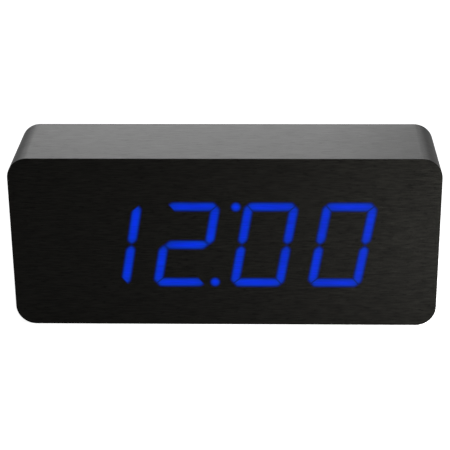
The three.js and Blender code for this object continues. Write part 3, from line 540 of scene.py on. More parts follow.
def depth_inside(name, x, z):
    """How far the points x and z lie inside a bar's convex outline, less its rounded corners."""
    points = np.array([(u + v * slant, v) for u, v in bars[name]])
    centre = points.mean(axis=0)
    nearness = np.zeros(x.shape)
    for i, (start, end) in enumerate(zip(points, np.roll(points, -1, axis=0))):
        along = (end - start) / np.linalg.norm(end - start)
        normal = np.array([-along[1], along[0]])
        if np.dot(centre - start, normal) < 0:
            normal = -normal
        depth = (x - start[0]) * normal[0] + (z - start[1]) * normal[1]
        if i in mitred[name]:
            depth *= mitre_sharpness
        nearness += np.exp(-np.clip(depth, -far_off, far_off) / tip_round)
    return -tip_round * np.log(nearness)


def smooth_share(value, low, high):
    """A share that goes smoothly from 0 at low to 1 at high."""
    share = np.clip((value - low) / (high - low), 0, 1)
    return share * share * (3 - 2 * share)


def fall_to_ends(name, u, v):
    """A bar's light, which is strongest in its middle, where its chip is."""
    if name in "ADG":
        from_end = column + (0 if name == "G" else half) - np.abs(u - v * slant)
    else:
        from_end = row / 2 + half - np.abs(np.abs(v) - row / 2)
    return 1 - end_share + end_share * smooth_share(from_end, 0, end_reach)


def glow_at(x, z):
    """The light that reaches the skin at x and z, from 0 to 1."""
    glow = np.zeros(x.shape)
    for i, (names, upside_down) in enumerate(lit):
        turn = -1 if upside_down else 1
        u = turn * (x - display_x - (i - (module_count - 1) / 2) * figure_pitch)
        v = turn * (z - display_z - glow_lift)
        for name in names:
            if name == "P":
                strength = 1
                depth = point_radius - np.hypot(u - point_x, v + point_drop)
            else:
                strength = bar_level * fall_to_ends(name, u, v)
                depth = depth_inside(name, u, v)
            in_heart = smooth_share(depth, heart_start_share * half, heart_full_share * half)
            heart = 1 - heart_share + heart_share * in_heart
            glow += strength * heart * smooth_share(depth, glow_start, glow_full)
    return np.minimum(glow, 1)


skin = bmesh.new()
skin_edge, skin_side, skin_back = inset_loops(skin, *case_outline, [
    (edge_round / 2, y_front), (0, y_front + edge_round / 2), (0, y_skin_back)])
area_width = module_count * figure_pitch
area_height = figure_height + 2 * glow_margin
area = upright_grid(
    skin, area_width, area_height, display_x, y_front, display_z,
    columns=round(area_width / glow_step), rows=round(area_height / glow_step))
area_rim = [e for e in edges_at(area) if e.is_boundary]
bmesh.ops.triangle_fill(skin, edges=area_rim + skin_edge, use_beauty=True)
join_loops(skin, [skin_edge, skin_side, skin_back])
bmesh.ops.contextual_create(skin, geom=skin_back)
skin_film, tree = grained_film(
    "grained face skin", fine_scale=(150, 150, 2300), pore_scale=(240, 240, 1300), specular=0.07)
glow = tree.nodes.new("ShaderNodeAttribute")
glow.attribute_name = "glow"
veil = noise_on_object(tree, (110, 110, 1500))
patches = noise_on_object(tree, (45, 45, 45), detail=1)
evenness = math_node(
    tree, "ADD", math_node(tree, "MULTIPLY_ADD", veil, veil_share, least_light_share),
    math_node(tree, "MULTIPLY", patches, patch_share))
strength = math_node(tree, "MULTIPLY", glow.outputs["Fac"], evenness)
own_colour = surface(tree, "Base Color").links[0].from_socket
film_share = math_node(tree, "MULTIPLY_ADD", glow.outputs["Fac"], film_fade, 1)
film_share = math_node(tree, "MAXIMUM", film_share, least_film_share)
dimmed = tree.nodes.new("ShaderNodeVectorMath")
dimmed.operation = "SCALE"
add_link(tree, own_colour, dimmed.inputs[0])
add_link(tree, film_share, dimmed.inputs["Scale"])
add_link(tree, dimmed.outputs[0], surface(tree, "Base Color"))
blue_light = [
    (0.05, (0, 0.03, 1)), (0.35, (0, 0.08, 1)), (0.65, (0, 0.05, 1)), (0.84, (0, 0.037, 1))]
add_link(tree, ramp(tree, glow.outputs["Fac"], blue_light), surface(tree, "Emission Color"))
add_link(tree, strength, surface(tree, "Emission Strength"))
face_skin = finished(skin, "face_skin", skin_film)
places = np.empty(len(face_skin.data.vertices) * 3, np.float32)
face_skin.data.vertices.foreach_get("co", places)
places = places.reshape(-1, 3)
front_only = places[:, 1] < y_front + edge_round / 4
glow_values = glow_at(places[:, 0], places[:, 2]) * front_only
attribute = face_skin.data.attributes.new("glow", "FLOAT", "POINT")
attribute.data.foreach_set("value", glow_values.astype(np.float32))
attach(face_skin, "case")
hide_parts("face_film")

# Digit modules: four moulded reflector shells with clear blue resin in their cups, each closed at
# the back by a small board. The third is upside down, so that its point makes a dot of the colon.
shade_share = 0.15
roughness_spread = 0.12
pebble_share = 0.6
track_level = 0.88
upright_above = 0.54
level_below = 0.48
weave_share = 0.25


def paint(material, *names):
    """Gives its finish to each CAD node that is shown as it is."""
    for name in names:
        nodes[name].material_slots[0].material = material


def moulded_plastic(name, colour, roughness, pebble=1800, pebble_depth=0.00006):
    """Moulded plastic with the fine texture of a sparked mould and a faint unevenness of colour."""
    material, tree = new_material(name, colour, roughness)
    texture = noise_on_object(tree, (pebble, pebble, pebble))
    flow = noise_on_object(tree, (40, 40, 40))
    darker = [c * (1 - shade_share) for c in colour]
    lighter = [c * (1 + shade_share) for c in colour]
    tint(tree, flow, darker, lighter, low=0.35, high=0.65)
    vary_roughness(tree, texture, roughness_spread, roughness - roughness_spread / 2)
    emboss(tree, texture, pebble_depth, pebble_share)
    return material


def stripes(tree, scale, direction="X"):
    """Even bands across one axis of Object coordinates."""
    wave = tree.nodes.new("ShaderNodeTexWave")
    wave.bands_direction = direction
    wave.inputs["Scale"].default_value = scale
    place = tree.nodes.new("ShaderNodeTexCoord")
    add_link(tree, place.outputs["Object"], wave.inputs["Vector"])
    return wave.outputs["Fac"]


shell_plastic = moulded_plastic("digit black plastic", (0.009, 0.009, 0.0095), roughness=0.6)
resin_tint = moulded_plastic(
    "clear blue resin", (0.02, 0.06, 0.55), roughness=0.25, pebble=800, pebble_depth=0.00001)
surface(resin_tint.node_tree, "Transmission Weight").default_value = 0.35
surface(resin_tint.node_tree, "IOR").default_value = 1.53

circuit_board, tree = new_material("green circuit board", (0.01, 0.09, 0.035), roughness=0.35)
layout = noise_on_object(tree, (75, 75, 75), detail=1)
runs = []
for direction, test, limit in (
    ("X", "GREATER_THAN", upright_above),
    ("Z", "LESS_THAN", level_below),
):
    bands = stripes(tree, scale=124, direction=direction)
    run = math_node(tree, "GREATER_THAN", bands, track_level)
    runs.append(math_node(tree, "MULTIPLY", run, math_node(tree, test, layout, limit)))
tracks = math_node(tree, "ADD", *runs)
tint(tree, tracks, (0.008, 0.08, 0.03), (0.025, 0.15, 0.055), low=0, high=1)
weave = noise_on_object(tree, (3000, 3000, 3000))
relief = math_node(tree, "MULTIPLY_ADD", weave, weave_share, tracks)
emboss(tree, relief, depth=0.00004, share=0.5)

for i in range(1, module_count + 1):
    paint(shell_plastic, f"digit_shell_{i}")
    paint(resin_tint, f"digit_resin_{i}")
    paint(circuit_board, f"digit_substrate_{i}")

# Rails and main board: two wood rails glued to the front board carry the board that closes the
# display, with four pan-head screws.
module_depth = 0.012
circuit_thickness = 0.0016
y_main_front = y_skin_back + module_depth
y_main_back = y_main_front + circuit_thickness
rail_gap = 0.0016
rail_width = 0.008
rail_end_gap = 0.0012
rail_hole_inset = 0.007
rail_x = window_width / 2 + rail_gap + rail_width / 2
rail_hole_rise = module_height / 2 - rail_end_gap - rail_hole_inset
screw_shank = 0.0011
screw_head = 0.0023
screw_head_height = 0.0015
screw_bite = 0.005
crown_foot_share = 0.35
crown_steps = 8
thread_pitch = 0.0008
thread_depth = 0.0002
point_share = 1.4
first_turn_share = 1.5
plain_share = 1.6
recess_length = 0.0024
recess_width = 0.0006
recess_depth = 0.0009
recess_end_share = 0.45
recess_side_share = 0.7

plated_steel, tree = new_material("plated steel", (0.46, 0.47, 0.48), roughness=0.3, metallic=1)
blush = noise_on_object(tree, (900, 900, 900), detail=3)
tint(tree, blush, (0.44, 0.45, 0.46), (0.51, 0.52, 0.53))
vary_roughness(tree, blush, change=0.2, start=0.2)


def turned(mesh, profile, x, z, segments=hole_segments):
    """A solid turned about an axis along Y, through points that are given as radius and y."""
    points = [mesh.verts.new((x + radius, y, z)) for radius, y in profile]
    edges = [mesh.edges.new(pair) for pair in zip(points, points[1:])]
    before = set(mesh.verts) - set(points)
    bmesh.ops.spin(
        mesh, geom=points + edges, cent=(x, 0, z), axis=(0, 1, 0), angle=2 * math.pi,
        steps=segments, use_merge=True)
    made = [v for v in mesh.verts if v not in before]
    bmesh.ops.remove_doubles(mesh, verts=made, dist=merge_distance)
    return [v for v in made if v.is_valid]


def closed_by(mesh, loops):
    """A solid through a row of loops, with a face over each end."""
    join_loops(mesh, loops)
    for end in (loops[0], loops[-1]):
        bmesh.ops.contextual_create(mesh, geom=end)


def combined(piece, mesh, operation, smooth_below=smooth_angle):
    """Joins the solids of a mesh to a piece, or cuts them out of it."""
    tool = finished(mesh, "tool")
    tool.modifiers.clear()
    piece.modifiers.clear()
    step = piece.modifiers.new("step", "BOOLEAN")
    step.operation = operation
    step.object = tool
    step.solver = "EXACT"
    step.use_self = True
    graph = bpy.context.evaluated_depsgraph_get()
    made = bpy.data.meshes.new_from_object(piece.evaluated_get(graph))
    piece.modifiers.clear()
    before = piece.data
    piece.data = made
    shade(piece, smooth_below)
    bpy.data.meshes.remove(before)
    bpy.data.objects.remove(tool)


def cross_recess(piece, x, y, z, length, width, depth, side=1):
    """Presses the tapered cross for a driver into a screw head, whose top is at y."""
    arms = ((length, width, recess_side_share), (width, length, recess_end_share))
    for across, up, up_share in arms:
        arm = bmesh.new()
        closed_by(arm, [
            rounded_loop(arm, across, up, 0, y + side * depth, x, z),
            rounded_loop(arm, across, up, 0, y, x, z),
            rounded_loop(arm, across * recess_end_share, up * up_share, 0, y - side * depth, x, z),
        ])
        combined(piece, arm, "DIFFERENCE")


def threaded(y_tip, y_end, radius):
    """The profile of a pointed shank with its thread, from the tip to the end."""
    side = 1 if y_end > y_tip else -1
    core = radius - thread_depth
    points = [(0, y_tip), (core, y_tip + side * point_share * radius)]
    turns = int((abs(y_end - y_tip) - plain_share * radius) / thread_pitch)
    for i in range(turns):
        y = y_tip + side * (first_turn_share * radius + i * thread_pitch)
        points += [(core, y), (radius, y + side * thread_pitch / 2)]
    return points + [(core, y_end)]


def pan_screw(name, x, z, y_tip, y_under, side):
    """A pan-head screw; its head stands on y_under, towards the back where side is 1."""
    mesh = bmesh.new()
    crown = [
        (screw_head * cosine,
         y_under + side * screw_head_height * (crown_foot_share + (1 - crown_foot_share) * sine))
        for cosine, sine in quarter_turn(crown_steps)]
    turned(mesh, [*threaded(y_tip, y_under, screw_shank), (screw_head, y_under), *crown], x, z)
    piece = finished(mesh, name, plated_steel)
    y_top = y_under + side * screw_head_height
    cross_recess(piece, x, y_top, z, recess_length, recess_width, recess_depth, side)
    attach(piece, "case")
    return piece


paint(wood_board, "board_rail_left", "board_rail_right")
paint(circuit_board, "main_board", "key_board")
for i, (across, up) in enumerate(four_corners, 1):
    screw = pan_screw(
        f"main_board_screw_{i}", display_x + across * rail_x, display_z + up * rail_hole_rise,
        y_main_front - screw_bite, y_main_back, 1)
    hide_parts(f"board_screw_{i}")

# Parts of the main board: two moulded chips, a buzzer, a coin cell in its holder, and the ribbon
# lead that goes back to the key board.
chip_epoxy = moulded_plastic(
    "chip epoxy", (0.012, 0.012, 0.013), roughness=0.5, pebble=5000, pebble_depth=0.00002)
cream_plastic = moulded_plastic(
    "cream nylon", (0.72, 0.66, 0.5), roughness=0.45, pebble=1500, pebble_depth=0.00002)
ribbon_sheath, tree = new_material("grey ribbon sheath", (0.3, 0.3, 0.3), roughness=0.5)
cores = stripes(tree, scale=247)
tint(tree, cores, (0.2, 0.2, 0.2), (0.36, 0.36, 0.36), low=0, high=1)
emboss(tree, cores, depth=0.0003, share=0.8)
paint(chip_epoxy, "controller_chip", "clock_chip", "buzzer")
paint(cream_plastic, "coin_cell_holder", "ribbon_header")
paint(plated_steel, "coin_cell")
paint(ribbon_sheath, "ribbon_lead")

# Key board: a second board on two posts of the rear cover. It has the push switches, whose
# plungers carry the button caps, the sound switch, the power socket and the microphone.
key_x = -0.053
flange_gap = 0.00015
flange_thickness = 0.001
plunger_proud = 0.0015
switch_height = 0.0035
y_key_back = y_cover_in - flange_gap - flange_thickness - plunger_proud - switch_height
y_key_front = y_key_back - circuit_thickness
row_rise = 0.012
button_z = middle_z + row_rise
control_z = middle_z - row_rise
control_pitch = 0.018
post_span = 0.058
post_places = (key_x - post_span / 2, key_x + post_span / 2)

paint(chip_epoxy, "key_switch_set", "key_switch_up", "key_switch_down")
paint(cream_plastic, "key_plunger_set", "key_plunger_up", "key_plunger_down")
paint(plated_steel, "sound_switch_frame")
for i, post_x in enumerate(post_places, 1):
    screw = pan_screw(
        f"key_board_fixing_{i}", post_x, middle_z, y_key_back + screw_bite, y_key_front, -1)
    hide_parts(f"key_board_screw_{i}")

# Power socket: a moulded block with a round bore and a plated pin in its middle, soldered to the
# key board behind a hole of the rear cover.
socket_x = key_x - control_pitch
socket_width = 0.0086
socket_round = 0.0005
socket_bore = 0.0019
socket_depth = 0.005
socket_chamfer = 0.0004
socket_pin = 0.00065
pin_sunk = 0.001
pin_taper = 0.0005
pin_tip_height = 0.00015
pin_tip_share = 0.7
overrun = 0.001
y_socket_top = y_cover_in - fit_gap
y_socket_floor = y_socket_top - socket_depth
y_pin = y_socket_top - pin_sunk


def chamfered_bore(radius, y_floor, y_top, chamfer):
    """The profile of a cutter for a round hole whose mouth at y_top is chamfered."""
    return [
        (0, y_floor),
        (radius, y_floor),
        (radius, y_top - chamfer),
        (radius + chamfer + overrun, y_top + overrun),
        (0, y_top + overrun),
    ]


socket = bmesh.new()
closed_by(socket, inset_loops(
    socket, socket_width, socket_width, socket_round, [(0, y_key_back), (0, y_socket_top)],
    socket_x, control_z, segments=4))
power_socket = finished(socket, "power_socket_body", chip_epoxy)
bore = bmesh.new()
turned(bore, chamfered_bore(socket_bore, y_socket_floor, y_socket_top, socket_chamfer),
       socket_x, control_z)
combined(power_socket, bore, "DIFFERENCE")
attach(power_socket, "case")
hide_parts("power_socket")
pin = bmesh.new()
turned(pin, [
    (0, y_socket_floor - socket_pin),
    (socket_pin, y_socket_floor - socket_pin),
    (socket_pin, y_pin - pin_taper),
    (socket_pin * pin_tip_share, y_pin - pin_tip_height),
    (0, y_pin),
], socket_x, control_z)
centre_pin = finished(pin, "power_socket_pin", plated_steel)
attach(centre_pin, "case")

# Microphone: a metal can with a black felt over its opening. It stands on the key board, behind a
# small hole of the rear cover.
mic_x = key_x + control_pitch
mic_radius = 0.003
mic_rim = 0.0006
mic_height = 0.0044
can_chamfer = 0.0002
can_round = 0.0003
felt_sunk = 0.0003
sliver = 1e-5
y_can = y_key_back + mic_height

felt, tree = new_material("black felt", (0.015, 0.015, 0.015), roughness=0.95, specular=0.2)
fuzz = noise_on_object(tree, (9000, 9000, 9000), detail=3)
tint(tree, fuzz, (0.006, 0.006, 0.006), (0.03, 0.03, 0.03))
emboss(tree, fuzz, depth=0.0001, share=0.8)
capsule = bmesh.new()
turned(capsule, [
    (0, y_key_back),
    (mic_radius - can_chamfer, y_key_back),
    (mic_radius, y_key_back + can_chamfer),
    (mic_radius, y_can - can_round),
    (mic_radius - can_round / 3, y_can - can_round / 3),
    (mic_radius - can_round, y_can),
    (mic_radius - mic_rim, y_can),
    (mic_radius - mic_rim, y_can - felt_sunk),
    (0, y_can - felt_sunk),
], mic_x, control_z)
for face in capsule.faces:
    middle = face.calc_center_median()
    away = math.hypot(middle.x - mic_x, middle.z - control_z)
    if away < mic_radius - mic_rim - sliver and middle.y > y_can - 2 * felt_sunk:
        face.material_index = 1
microphone = finished(capsule, "microphone_can", plated_steel, felt)
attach(microphone, "case")
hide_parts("microphone")

# Rear cover: one black moulding in the rebate of the case. A rim on its inside finds its place, two
# posts carry the key board, and its openings are for the controls, the air and the batteries.
mould_round = 0.0003
rim_depth = 0.003
rim_thickness = 0.0015
post_radius = 0.003
post_foot = 0.0005
post_hole = 0.00125
button_radius = 0.0036
button_pitch = 0.016
socket_hole = 0.0035
socket_hole_chamfer = 0.0005
mic_hole = 0.001
cover_chamfer = 0.0002
slide_slot_width = 0.005
slide_slot_height = 0.0026
slide_slot_corner = 0.0003
vent_width = 0.016
vent_height = 0.0016
vent_pitch = 0.0036
vent_count = 5
vent_x = 0.0015
bay_x = 0.0525
opening_width = 0.053
opening_height = 0.048
opening_corner = 0.0006
notch_width = 0.012
notch_height = 0.004
notch_depth = 0.0012
notch_slope = 0.0009
hinge_pin = 0.0006
pin_length = 0.0016
running_gap = 0.00015
door_width = opening_width - 2 * fit_gap
door_height = opening_height - 2 * fit_gap
door_thickness = cover_thickness - fit_gap
door_low = middle_z - door_height / 2
hinge_y = y_cover_out - door_thickness / 2
hinge_z = door_low + door_thickness / 2
pin_reach = door_width / 2 + pin_length
screw_hole = 0.00155
screw_flare = 0.00305
screw_flare_depth = 0.00185
y_screw_flare = y_cover_out - screw_flare_depth
fine_segments = 48

moulded_black = moulded_plastic("moulded black plastic", (0.019, 0.019, 0.0192), roughness=0.5)


def hole(mesh, radius, x, z, segments=hole_segments, chamfer=cover_chamfer):
    """A cutter for a round hole through the cover with a small chamfer at its outer end."""
    profile = chamfered_bore(radius, y_cover_in - overrun, y_cover_out, chamfer)
    turned(mesh, profile, x, z, segments)


def opening(mesh, width, height, corner, x, z):
    """A cutter for a straight-sided opening through the cover, chamfered at its outer end."""
    closed_by(mesh, inset_loops(mesh, width, height, corner, [
        (0, y_cover_in - overrun),
        (0, y_cover_out - cover_chamfer),
        (-cover_chamfer - overrun, y_cover_out + overrun),
    ], x, z, segments=8))


def rod(radius, start, end):
    """The profile of a plain round rod."""
    return [(0, start), (radius, start), (radius, end), (0, end)]


def across_x(mesh, profile, y, z, segments=24):
    """A solid turned about an axis along X, through points that are given as radius and x."""
    made = turned(mesh, profile, 0, 0, segments)
    bmesh.ops.rotate(mesh, cent=(0, 0, 0), matrix=Matrix.Rotation(-math.pi / 2, 3, "Z"), verts=made)
    bmesh.ops.translate(mesh, vec=(0, y, z), verts=made)


cover = bmesh.new()
closed_by(cover, inset_loops(cover, *rebate_outline, [
    (fit_gap + mould_round, y_cover_out),
    (fit_gap + mould_round / 4, y_cover_out - mould_round / 4),
    (fit_gap, y_cover_out - mould_round),
    (fit_gap, y_cover_in),
]))
rear_cover = finished(cover, "rear_cover_moulding", moulded_black)

inner_parts = bmesh.new()
rim_loops = inset_loops(inner_parts, *bore_outline, [
    (fit_gap, y_cover_in + fit_gap),
    (fit_gap, y_cover_in - rim_depth + fit_gap),
    (2 * fit_gap, y_cover_in - rim_depth),
    (fit_gap + rim_thickness, y_cover_in - rim_depth),
    (fit_gap + rim_thickness, y_cover_in + fit_gap),
])
join_loops(inner_parts, rim_loops + rim_loops[:1])
cuts = bmesh.new()
for post_x in post_places:
    turned(inner_parts, [
        (0, y_key_back),
        (post_radius, y_key_back),
        (post_radius, y_cover_in - post_foot),
        (post_radius + post_foot + fit_gap, y_cover_in + fit_gap),
        (0, y_cover_in + fit_gap),
    ], post_x, middle_z)
    turned(cuts, rod(post_hole, y_key_back - overrun, y_key_back + screw_bite + fit_gap),
           post_x, middle_z)
combined(rear_cover, inner_parts, "UNION")

for i in (-1, 0, 1):
    hole(cuts, button_radius + fit_gap, key_x + i * button_pitch, button_z, fine_segments)
hole(cuts, socket_hole, socket_x, control_z, fine_segments, socket_hole_chamfer)
hole(cuts, mic_hole, mic_x, control_z)
opening(cuts, slide_slot_width, slide_slot_height, slide_slot_corner, key_x, control_z)
for i in range(vent_count):
    vent_z = middle_z + (i - (vent_count - 1) / 2) * vent_pitch
    opening(cuts, vent_width, vent_height, vent_height / 2 - sliver, vent_x, vent_z)
flare_slope = (screw_flare - screw_hole) / screw_flare_depth
for x, z in screw_places:
    turned(cuts, [
        (0, y_cover_in - overrun),
        (screw_hole, y_cover_in - overrun),
        (screw_hole, y_screw_flare),
        (screw_flare + flare_slope * overrun, y_cover_out + overrun),
        (0, y_cover_out + overrun),
    ], x, z)
opening(cuts, opening_width, opening_height, opening_corner, bay_x, middle_z)
combined(rear_cover, cuts, "DIFFERENCE")

scoop = bmesh.new()
notch_z = middle_z + opening_height / 2
reach = notch_slope * overrun / notch_depth
closed_by(scoop, [
    rounded_loop(
        scoop, notch_width + 2 * reach, 2 * (notch_height + reach), notch_height - sliver,
        y_cover_out + overrun, bay_x, notch_z, segments=10),
    rounded_loop(
        scoop, notch_width - 2 * notch_slope, 2 * (notch_height - notch_slope),
        notch_height - notch_slope - sliver, y_cover_out - notch_depth, bay_x, notch_z,
        segments=10),
])
hole_reach = pin_reach + fit_gap
across_x(scoop, rod(hinge_pin + running_gap, bay_x - hole_reach, bay_x + hole_reach),
         hinge_y, hinge_z)
combined(rear_cover, scoop, "DIFFERENCE")
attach(rear_cover, "case")
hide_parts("rear_cover")

# Cover screws: four countersunk steel screws with a cross recess, through the corners of the cover
# into the thick corners of the case.
cover_shank = 0.0014
cover_head = 0.0029
cover_head_height = 0.0017
cover_screw_length = 0.011
head_trim = 0.00015
head_land = 0.0003
head_round = 0.0001
cover_recess_length = 0.0034
cover_recess_width = 0.0008
cover_recess_depth = 0.0012
for i, (x, z) in enumerate(screw_places, 1):
    mesh = bmesh.new()
    turned(mesh, [
        *threaded(y_cover_out - cover_screw_length, y_cover_out - cover_head_height, cover_shank),
        (cover_head - head_trim, y_cover_out - head_land),
        (cover_head - head_trim, y_cover_out - head_round),
        (cover_head - 2 * head_trim, y_cover_out),
        (0, y_cover_out),
    ], x, z)
    screw = finished(mesh, f"countersunk_screw_{i}", plated_steel)
    cross_recess(
        screw, x, y_cover_out, z, cover_recess_length, cover_recess_width, cover_recess_depth)
    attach(screw, "case")
    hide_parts(f"cover_screw_{i}")

# Buttons: three caps with a flange behind the cover and a lightly dished, polished top. Each rides
# on its own body, which moves with the plunger of its switch.
flange_reach = 0.0012
flange_radius = button_radius + flange_reach
flange_round = 0.0001
cap_proud = 0.0012
cap_round = 0.0006
cap_steps = 6
cap_segments = 64
y_flange_top = y_cover_in - flange_gap
y_flange = y_flange_top - flange_thickness
y_button_tip = y_cover_out + cap_proud
dish = 0.0002
dish_shares = (0.85, 0.7, 0.5, 0.3, 0)

button_plastic = moulded_plastic(
    "smooth black plastic", (0.02, 0.02, 0.0205), roughness=0.28, pebble=1500,
    pebble_depth=0.000008)
for i, name in enumerate(("set", "up", "down"), -1):
    cap = bmesh.new()
    shoulder = [
        (button_radius - cap_round * (1 - cosine), y_button_tip - cap_round * (1 - sine))
        for cosine, sine in quarter_turn(cap_steps)]
    hollow = [
        ((button_radius - cap_round) * share, y_button_tip - dish * (1 - share * share))
        for share in dish_shares]
    turned(cap, [
        (0, y_flange),
        (flange_radius - flange_round, y_flange),
        (flange_radius, y_flange + flange_round),
        (flange_radius, y_flange_top),
        (button_radius, y_flange_top),
        *shoulder,
        *hollow,
    ], key_x + i * button_pitch, button_z, cap_segments)
    button = finished(cap, f"button_cap_{name}", button_plastic)
    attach(button, f"button_{name}")
    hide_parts(f"button_{name}")

# Sound switch knob: a small moulded slider with three grip grooves across its top. It rests at one
# end of its travel along the slot of the cover.
knob_travel = 0.002
knob_x = key_x - knob_travel / 2
knob_length = 0.0024
knob_width = 0.002
knob_rise = 0.0013
knob_proud = 0.0008
knob_round = 0.00012
y_knob_foot = y_key_back + knob_rise
y_knob_top = y_cover_out + knob_proud
groove_width = 0.00025
groove_depth = 0.00035
groove_shares = (-0.25, 0, 0.25)


def around(middle, size):
    """The two ends of a size that lies evenly about its middle."""
    return middle - size / 2, middle + size / 2


def round_edges(mesh, edges, radius, segments=2):
    bmesh.ops.bevel(
        mesh, geom=edges, offset=radius, segments=segments, profile=0.5, affect="EDGES",
        material=-1)


def slab(mesh, x_ends, y_ends, z_ends, edge_radius=0):
    """A block between two planes each across X, Y and Z, with its edges rounded."""
    ends = (x_ends, y_ends, z_ends)
    made = bmesh.ops.create_cube(mesh, size=1)["verts"]
    bmesh.ops.scale(mesh, vec=[far - near for near, far in ends], verts=made)
    bmesh.ops.translate(mesh, vec=[(near + far) / 2 for near, far in ends], verts=made)
    if edge_radius:
        round_edges(mesh, edges_at(made), edge_radius)


knob = bmesh.new()
slab(knob, around(knob_x, knob_length), (y_knob_foot, y_knob_top), around(control_z, knob_width),
     knob_round)
sound_knob = finished(knob, "sound_switch_slider", button_plastic)
grooves = bmesh.new()
eighth_turn = Matrix.Rotation(math.pi / 4, 3, "Z")
for share in groove_shares:
    groove_x = knob_x + knob_length * share
    made = bmesh.ops.create_cube(grooves, size=1)["verts"]
    bmesh.ops.rotate(grooves, cent=(0, 0, 0), matrix=eighth_turn, verts=made)
    bmesh.ops.scale(grooves, vec=(groove_width, groove_depth, knob_width * 2), verts=made)
    bmesh.ops.translate(grooves, vec=(groove_x, y_knob_top, control_z), verts=made)
combined(sound_knob, grooves, "DIFFERENCE", smooth_below=25)
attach(sound_knob, "sound_knob")
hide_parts("sound_switch_knob")

# Battery box: a moulded tray behind the cover, with a saddle under each of four small cells and
# pockets at both ends for the contacts.
cell_radius = 0.00525
cell_pitch = 0.0112
cell_count = 4
cell_slack = 0.0004
bay_length = 0.0498
bay_height = cell_count * cell_pitch
bay_left = bay_x - bay_length / 2
bay_right = bay_x + bay_length / 2
bay_wall = 0.0014
bay_flange = 0.0032
bay_flange_thickness = 0.0016
bay_floor_thickness = 0.0012
box_length = bay_length + 2 * bay_wall
box_height = bay_height + 2 * bay_wall
box_round = 0.0004
y_bay_floor = y_cover_in - 2 * cell_radius - cell_slack
saddle_rise = 0.0025
saddle_radius = cell_radius + running_gap
pocket = 0.0022
contact_thickness = 0.0004
tag_width = 0.003
tag_thickness = 0.0006
tag_rise = 0.003
y_tag = y_bay_floor + tag_rise


def cell_z(i):
    return middle_z + ((cell_count - 1) / 2 - i) * cell_pitch


box = bmesh.new()
slab(box, around(bay_x, box_length), (y_bay_floor - bay_floor_thickness, y_cover_in),
     around(middle_z, box_height), box_round)
battery_box = finished(box, "battery_box_moulding", moulded_black)
flange = bmesh.new()
slab(flange, around(bay_x, box_length + 2 * bay_flange),
     (y_cover_in - bay_flange_thickness, y_cover_in),
     around(middle_z, box_height + 2 * bay_flange), mould_round)
combined(battery_box, flange, "UNION")
room = bmesh.new()
for x_ends, y_floor in (
    ((bay_left, bay_right), y_bay_floor + saddle_rise),
    ((bay_left, bay_left + pocket), y_bay_floor),
    ((bay_right - pocket, bay_right), y_bay_floor),
):
    slab(room, x_ends, (y_floor, y_cover_in + overrun), around(middle_z, bay_height))
for i in range(cell_count):
    across_x(room, rod(saddle_radius, bay_left, bay_right), y_bay_floor + saddle_radius, cell_z(i),
             fine_segments)
for i in (0, cell_count - 1):
    slab(room, (bay_left - bay_wall - overrun, bay_left + contact_thickness),
         around(y_tag, tag_thickness + 2 * fit_gap), around(cell_z(i), tag_width + 2 * fit_gap))
combined(battery_box, room, "DIFFERENCE")
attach(battery_box, "case")
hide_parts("battery_box")

# Contacts: plates stamped from nickel-plated spring steel, with a pressed button where a cell has
# its positive end and a cone spring where it has its negative one.
contact_width = 0.0094
contact_depth = 0.0086
plate_round = 0.0001
press_radius = 0.0024
press_height = 0.0009
press_steps = 8
wire = 0.0003
coil_base = 0.0034
coil_tip = 0.0021
coil_length = 0.005
coil_turns = 3.75
coil_steps = 90
tag_reach = 0.002
y_cell = y_bay_floor + cell_radius

nickel, tree = new_material(
    "nickel-plated spring steel", (0.62, 0.6, 0.56), roughness=0.22, metallic=1)
tarnish = noise_on_object(tree, (600, 600, 600), detail=3)
tint(tree, tarnish, (0.55, 0.53, 0.49), (0.7, 0.68, 0.64))
vary_roughness(tree, tarnish, change=0.2, start=0.12)


def add_cone_spring(mesh, x_face, y, z, direction):
    """A cone spring that winds away from its plate, as a round wire along its curve."""
    line = bpy.data.curves.new("wire", "CURVE")
    line.dimensions = "3D"
    line.bevel_depth = wire
    line.bevel_resolution = 3
    line.use_fill_caps = True
    spline = line.splines.new("POLY")
    spline.points.add(coil_steps)
    for i, point in enumerate(spline.points):
        share = i / coil_steps
        angle = 2 * math.pi * coil_turns * share
        radius = coil_base + (coil_tip - coil_base) * share
        x = x_face + direction * coil_length * share
        point.co = (x, y + radius * math.cos(angle), z + radius * math.sin(angle), 1)
    holder = bpy.data.objects.new("wire", line)
    wire_mesh = bpy.data.meshes.new_from_object(holder)
    mesh.from_mesh(wire_mesh)
    bpy.data.objects.remove(holder)
    bpy.data.curves.remove(line)
    bpy.data.meshes.remove(wire_mesh)
    bmesh.ops.remove_doubles(mesh, verts=mesh.verts, dist=merge_distance)


def contact(name, end, plus, minus):
    """A contact at the left wall where end is -1, at the right where it is 1."""
    wall_x = bay_left if end < 0 else bay_right
    face_x = wall_x - end * contact_thickness
    cells = [cell_z(i) for i in (plus, minus) if i is not None]
    mesh = bmesh.new()
    slab(mesh, sorted((wall_x, face_x)), around(y_cell, contact_depth),
         (min(cells) - contact_width / 2, max(cells) + contact_width / 2), plate_round)
    if plus is not None:
        foot_x = face_x + end * contact_thickness / 2
        dome = [
            (press_radius * cosine, face_x - end * press_height * sine)
            for cosine, sine in quarter_turn(press_steps)]
        across_x(mesh, [(0, foot_x), (press_radius, foot_x), *dome], y_cell, cell_z(plus),
                 hole_segments)
    if len(cells) == 1:
        slab(mesh, (wall_x - bay_wall - tag_reach, wall_x + contact_thickness / 2),
             around(y_tag, tag_thickness), around(cells[0], tag_width), plate_round)
    if minus is not None:
        add_cone_spring(mesh, face_x, y_cell, cell_z(minus), -end)
    piece = finished(mesh, f"{name}_plate", nickel)
    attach(piece, "case")
    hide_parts(name)


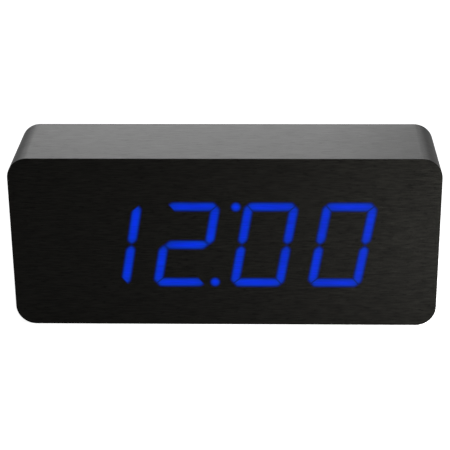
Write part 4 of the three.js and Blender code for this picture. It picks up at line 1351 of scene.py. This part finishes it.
contact("contact_plus", -1, 0, None)
contact("contact_link_1", 1, 1, 0)
contact("contact_link_2", -1, 2, 1)
contact("contact_link_3", 1, 3, 2)
contact("contact_minus", -1, None, 3)

# Battery leads: two insulated wires from the solder tags to the key board, each with a sleeving of
# its own colour.
for name, colour in (("red", (0.45, 0.012, 0.012)), ("black", (0.012, 0.012, 0.012))):
    sleeving = moulded_plastic(
        f"{name} wire sleeving", colour, roughness=0.4, pebble=1200, pebble_depth=0.00002)
    paint(sleeving, f"battery_lead_{name}")

# Battery door: a flush door that swings down on two pins, with a round lower edge, two ribs that
# press on the cells, and a springy tongue between two slots at its upper edge.
tongue_width = 0.011
tongue_slot = 0.001
tongue_length = 0.009
nib = 0.0007
nib_reach = 0.00015
rib_thickness = 0.001
rib_height = 0.0005
rib_round = 0.0002
rib_share = 0.7
pin_chamfer = 0.0001
crisp_above = 60
foot_merge_distance = 1e-6
y_door_in = y_cover_out - door_thickness
door_top = door_low + door_height

door = bmesh.new()
slab(door, around(bay_x, door_width), (y_door_in, y_cover_out), (door_low, door_top))
near_foot = door_low + tongue_slot
foot_edges = [e for e in door.edges if all(v.co.z < near_foot for v in e.verts)
              and abs(e.verts[0].co.x - e.verts[1].co.x) > tongue_width]
round_edges(door, foot_edges, door_thickness / 2, segments=10)
bmesh.ops.remove_doubles(door, verts=door.verts, dist=foot_merge_distance)
crisp = [e for e in door.edges if e.calc_face_angle(0) > math.radians(crisp_above)]
round_edges(door, crisp, mould_round / 2)
battery_door = finished(door, "battery_door_moulding", moulded_black)
additions = bmesh.new()
across_x(additions, [
    (0, bay_x - pin_reach),
    (hinge_pin - pin_chamfer, bay_x - pin_reach),
    (hinge_pin, bay_x - pin_reach + pin_chamfer),
    (hinge_pin, bay_x + pin_reach - pin_chamfer),
    (hinge_pin - pin_chamfer, bay_x + pin_reach),
    (0, bay_x + pin_reach),
], hinge_y, hinge_z)
slots = bmesh.new()
for side in (-1, 1):
    slab(additions, around(bay_x, door_width * rib_share), (y_door_in - rib_height, hinge_y),
         around(middle_z + side * cell_pitch, rib_thickness), rib_round)
    slab(slots, around(bay_x + side * (tongue_width + tongue_slot) / 2, tongue_slot),
         (y_door_in - overrun, y_cover_out + overrun),
         (door_top - tongue_length, door_top + overrun))
slab(additions, around(bay_x, tongue_width - 2 * tongue_slot), (y_door_in, y_door_in + nib),
     (door_top - nib, door_top + nib_reach))
combined(battery_door, additions, "UNION")
combined(battery_door, slots, "DIFFERENCE")
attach(battery_door, "battery_cover")
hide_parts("battery_door")
